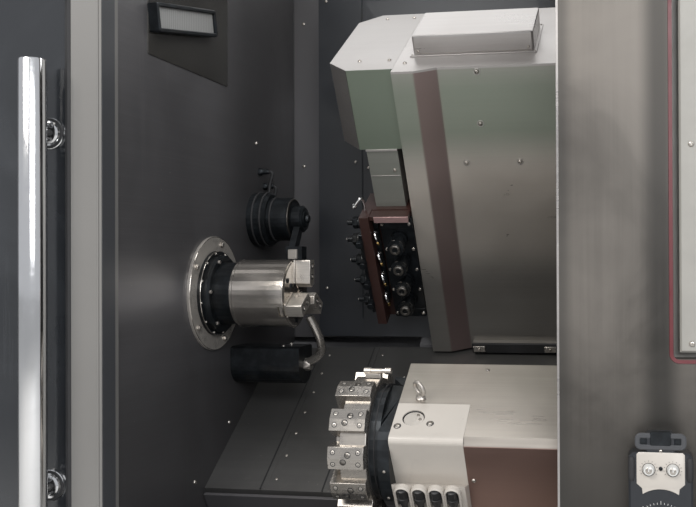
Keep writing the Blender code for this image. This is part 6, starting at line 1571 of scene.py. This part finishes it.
class LatheColours(bpy.types.PropertyGroup):
    """The linear colours that the finishes start from."""

    grey_paint: colour_property("Grey paint", "Door and outer covers", (0.180, 0.175, 0.166))
    dark_paint: colour_property("Dark paint", "Motor and pendant case", (0.055, 0.057, 0.062))
    black_paint: colour_property("Blue-black paint", "Back covers in the work area",
                                 (0.016, 0.018, 0.022))
    stainless: colour_property("Stainless", "Head, right panel and turret cover",
                               (0.34, 0.325, 0.300))
    warm_stainless: colour_property("Warm stainless", "Turret cover, lit by the white casting",
                                    (0.40, 0.365, 0.325))
    bright_stainless: colour_property("Bright stainless", "Head's hood and top cover",
                                      (0.58, 0.55, 0.53))
    dark_stainless: colour_property("Dark stainless", "Bulkhead and side lining",
                                    (0.100, 0.097, 0.100))
    way_covers: colour_property("Way covers", "Telescopic sheets over the bed",
                                (0.100, 0.098, 0.095))
    white_paint: colour_property("White paint", "Turret housing casting", (0.49, 0.455, 0.41))
    maroon_paint: colour_property("Maroon paint", "Gang tool slide", (0.036, 0.016, 0.013))
    iron_paint: colour_property("Iron paint", "Bed, headstock and saddle", (0.12, 0.12, 0.125))
    bright_steel: colour_property("Bright steel", "Turret, chuck and jaws", (0.60, 0.56, 0.51))
    black_steel: colour_property("Black steel", "Tool holders and the turret ring",
                                 (0.011, 0.013, 0.015))
    chrome: colour_property("Chrome", "Door handle", (0.82, 0.82, 0.82))
    brass: colour_property("Brass", "Nozzle tips", (0.62, 0.42, 0.16))
    rubber: colour_property("Black rubber", "Edge strips and hoses", (0.015, 0.015, 0.016))
    glass: colour_property("Tinted glass", "Door window", (0.020, 0.022, 0.025))
    red_plastic: colour_property("Red plastic", "Stop button", (0.48, 0.020, 0.018))
    light_plastic: colour_property("Light plastic", "Keys and the pendant's face",
                                   (0.62, 0.62, 0.60))
    panel_face: colour_property("Panel face", "Control panel", (0.30, 0.29, 0.265))
    lens: colour_property("Lamp lens", "Diffuser of the work lamp", (0.80, 0.80, 0.78))
    # The three tints below are painted reflections on the stainless steel, not colours of the steel.
    green_painted_reflection: colour_property("Green tint", "Upper half of the head", (0.180, 0.222, 0.170))
    pink_painted_reflection: colour_property("Pink tint", "Band down the head's face", (0.20, 0.135, 0.130))
    brown_painted_reflection: colour_property("Brown tint", "Front of the turret cover", (0.190, 0.098, 0.080))
    maroon_line: colour_property("Maroon line", "Round the control panel", (0.105, 0.012, 0.016))
    lip_steel: colour_property("Lip steel", "Plate over the gang slide", (0.50, 0.33, 0.32))


def power_property(name, description, value):
    """A lamp's power in watts for the property group."""
    return bpy.props.FloatProperty(name=name, description=description, default=value, min=0.0,
                                   unit="POWER")


class LatheSizes(bpy.types.PropertyGroup):
    """Sizes of the fine parts and the stage."""

    handle_diameter: length_property("Handle diameter", "Tube of the door handle", 0.042)
    post_inset: length_property("Post inset", "From the tube's ends to its posts", 0.11)
    lamp_length: length_property("Lamp length", "Work lamp on the bulkhead", 0.236)
    lamp_height: length_property("Lamp height", "Work lamp on the bulkhead", 0.052)
    louvre_height: length_property("Louvre height", "One pressed louvre", 0.014)
    louvre_depth: length_property("Louvre depth", "How far a louvre stands out", 0.009)
    louvre_pitch: length_property("Louvre pitch", "From one louvre to the next", 0.032)
    floor_width: length_property("Half floor width", "From the middle to the floor's edge", 60.0)
    key_power: power_property("Key light", "Power of the large front light", 140.0)
    fill_power: power_property("Fill light", "Power of the right front light", 88.0)
    rim_power: power_property("Rim light", "Power of the light behind", 120.0)
    sky_level: bpy.props.FloatProperty(name="Sky level", description="Strength of the pale sky",
                                       default=0.55, min=0.0)


class LATHE_OT_finishes(bpy.types.Operator):
    """Make the finishes and give each CAD node its own"""

    bl_idname = "lathe.finishes"
    bl_label = "Finishes"

    def execute(self, context):
        """Make the materials and set them."""
        make_finishes(context.scene.lathe_colours)
        dress_nodes()
        return {"FINISHED"}


class LATHE_OT_door(bpy.types.Operator):
    """Fit the door's gasket, bead and tube handle"""

    bl_idname = "lathe.door"
    bl_label = "Door"

    def execute(self, context):
        """Build the door's pieces."""
        dress_door(context.scene.lathe_sizes)
        return {"FINISHED"}


class LATHE_OT_bulkhead(bpy.types.Operator):
    """Fit the polished plate, the work lamp and the bulkhead's screws"""

    bl_idname = "lathe.bulkhead"
    bl_label = "Bulkhead"

    def execute(self, context):
        """Build the plate, lamp and screws."""
        dress_bulkhead(context.scene.lathe_sizes)
        return {"FINISHED"}


class LATHE_OT_spindle(bpy.types.Operator):
    """Fit the spindle's screws and seals and the chuck's fine parts"""

    bl_idname = "lathe.spindle"
    bl_label = "Spindle and chuck"

    def execute(self, context):
        """Build the spindle's and chuck's pieces."""
        dress_spindle()
        return {"FINISHED"}


class LATHE_OT_setter(bpy.types.Operator):
    """Fit the tool setter's boot, hoses, cap and stylus, and the coolant pipe"""

    bl_idname = "lathe.setter"
    bl_label = "Tool setter and coolant"

    def execute(self, context):
        """Build the tool setter's pieces."""
        dress_setter()
        return {"FINISHED"}


class LATHE_OT_way_covers(bpy.types.Operator):
    """Fit the lips, wipers, sill and seams of the telescopic covers"""

    bl_idname = "lathe.way_covers"
    bl_label = "Way covers"

    def execute(self, context):
        """Build the covers' pieces."""
        dress_way_covers()
        return {"FINISHED"}


class LATHE_OT_head(bpy.types.Operator):
    """Fit the upper head's screws, flange, lips and wiper"""

    bl_idname = "lathe.head"
    bl_label = "Upper head"

    def execute(self, context):
        """Build the head's pieces."""
        dress_head()
        return {"FINISHED"}


class LATHE_OT_gang(bpy.types.Operator):
    """Fit the gang slide's tool block, turning tools and coolant nozzles"""

    bl_idname = "lathe.gang"
    bl_label = "Gang tools"

    def execute(self, context):
        """Build the gang slide's pieces."""
        dress_gang()
        return {"FINISHED"}


class LATHE_OT_live_tools(bpy.types.Operator):
    """Fit each live tool's nut and collet"""

    bl_idname = "lathe.live_tools"
    bl_label = "Live tools"

    def execute(self, context):
        """Build the nuts and collets."""
        dress_live_tools()
        return {"FINISHED"}


class LATHE_OT_turret(bpy.types.Operator):
    """Fit the turret's blocks, screws, clamps and boring holder, and its black ring's screws"""

    bl_idname = "lathe.turret"
    bl_label = "Turret"

    def execute(self, context):
        """Build the turret's and its ring's pieces."""
        dress_turret()
        dress_ring()
        return {"FINISHED"}


class LATHE_OT_housing(bpy.types.Operator):
    """Fit the white casting's window, glands and screws, and the lifting eye"""

    bl_idname = "lathe.housing"
    bl_label = "Turret housing"

    def execute(self, context):
        """Build the casting's pieces."""
        dress_housing()
        return {"FINISHED"}


class LATHE_OT_right_panel(bpy.types.Operator):
    """Fit the recess line and the control panel's screen, keys and dials"""

    bl_idname = "lathe.right_panel"
    bl_label = "Right panel"

    def execute(self, context):
        """Build the panel's pieces."""
        dress_right_panel()
        return {"FINISHED"}


class LATHE_OT_pendant(bpy.types.Operator):
    """Fit the hand pendant's face, dial, grips, hanger and knob marks"""

    bl_idname = "lathe.pendant"
    bl_label = "Pendant"

    def execute(self, context):
        """Build the pendant's pieces."""
        dress_pendant()
        return {"FINISHED"}


class LATHE_OT_covers(bpy.types.Operator):
    """Fit louvres, seams, latches and screws to the outer covers and feet"""

    bl_idname = "lathe.covers"
    bl_label = "Outer covers"

    def execute(self, context):
        """Build the covers' and feet's pieces."""
        dress_covers(context.scene.lathe_sizes)
        return {"FINISHED"}


class LATHE_OT_stage(bpy.types.Operator):
    """Lay the floor and set the lights and the photo's camera"""

    bl_idname = "lathe.stage"
    bl_label = "Stage"

    def execute(self, context):
        """Build the floor, lights and camera."""
        make_floor(context.scene.lathe_sizes)
        make_lights(context.scene.lathe_sizes)
        make_camera()
        return {"FINISHED"}


STEPS = (
    LATHE_OT_finishes, LATHE_OT_door, LATHE_OT_bulkhead, LATHE_OT_spindle, LATHE_OT_setter,
    LATHE_OT_way_covers, LATHE_OT_head, LATHE_OT_gang, LATHE_OT_live_tools, LATHE_OT_turret,
    LATHE_OT_housing, LATHE_OT_right_panel, LATHE_OT_pendant, LATHE_OT_covers, LATHE_OT_stage)


class LATHE_PT_panel(bpy.types.Panel):
    """The sidebar's list of building steps"""

    bl_idname = "LATHE_PT_panel"
    bl_label = "Turning Lathe"
    bl_space_type = "VIEW_3D"
    bl_region_type = "UI"
    bl_category = "Lathe"

    def draw(self, context):
        """List the steps in their order, then the colours and sizes."""
        for step in STEPS:
            self.layout.operator(step.bl_idname)
        for group in (context.scene.lathe_colours, context.scene.lathe_sizes):
            column = self.layout.column(align=True)
            for name in group.bl_rna.properties.keys():
                if name not in ("rna_type", "name"):
                    column.prop(group, name)


CLASSES = (LatheColours, LatheSizes, *STEPS, LATHE_PT_panel)


def register():
    """Register the classes and hang the two property groups on the scene."""
    for item in CLASSES:
        bpy.utils.register_class(item)
    bpy.types.Scene.lathe_colours = bpy.props.PointerProperty(type=LatheColours)
    bpy.types.Scene.lathe_sizes = bpy.props.PointerProperty(type=LatheSizes)


def unregister():
    """Take the property groups off the scene and unregister the classes."""
    del bpy.types.Scene.lathe_colours
    del bpy.types.Scene.lathe_sizes
    for item in reversed(CLASSES):
        bpy.utils.unregister_class(item)


def main():
    """Register the add-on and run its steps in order."""
    register()
    for step in STEPS:
        space, name = step.bl_idname.split(".")
        getattr(getattr(bpy.ops, space), name)()


if __name__ == "__main__":
    main()
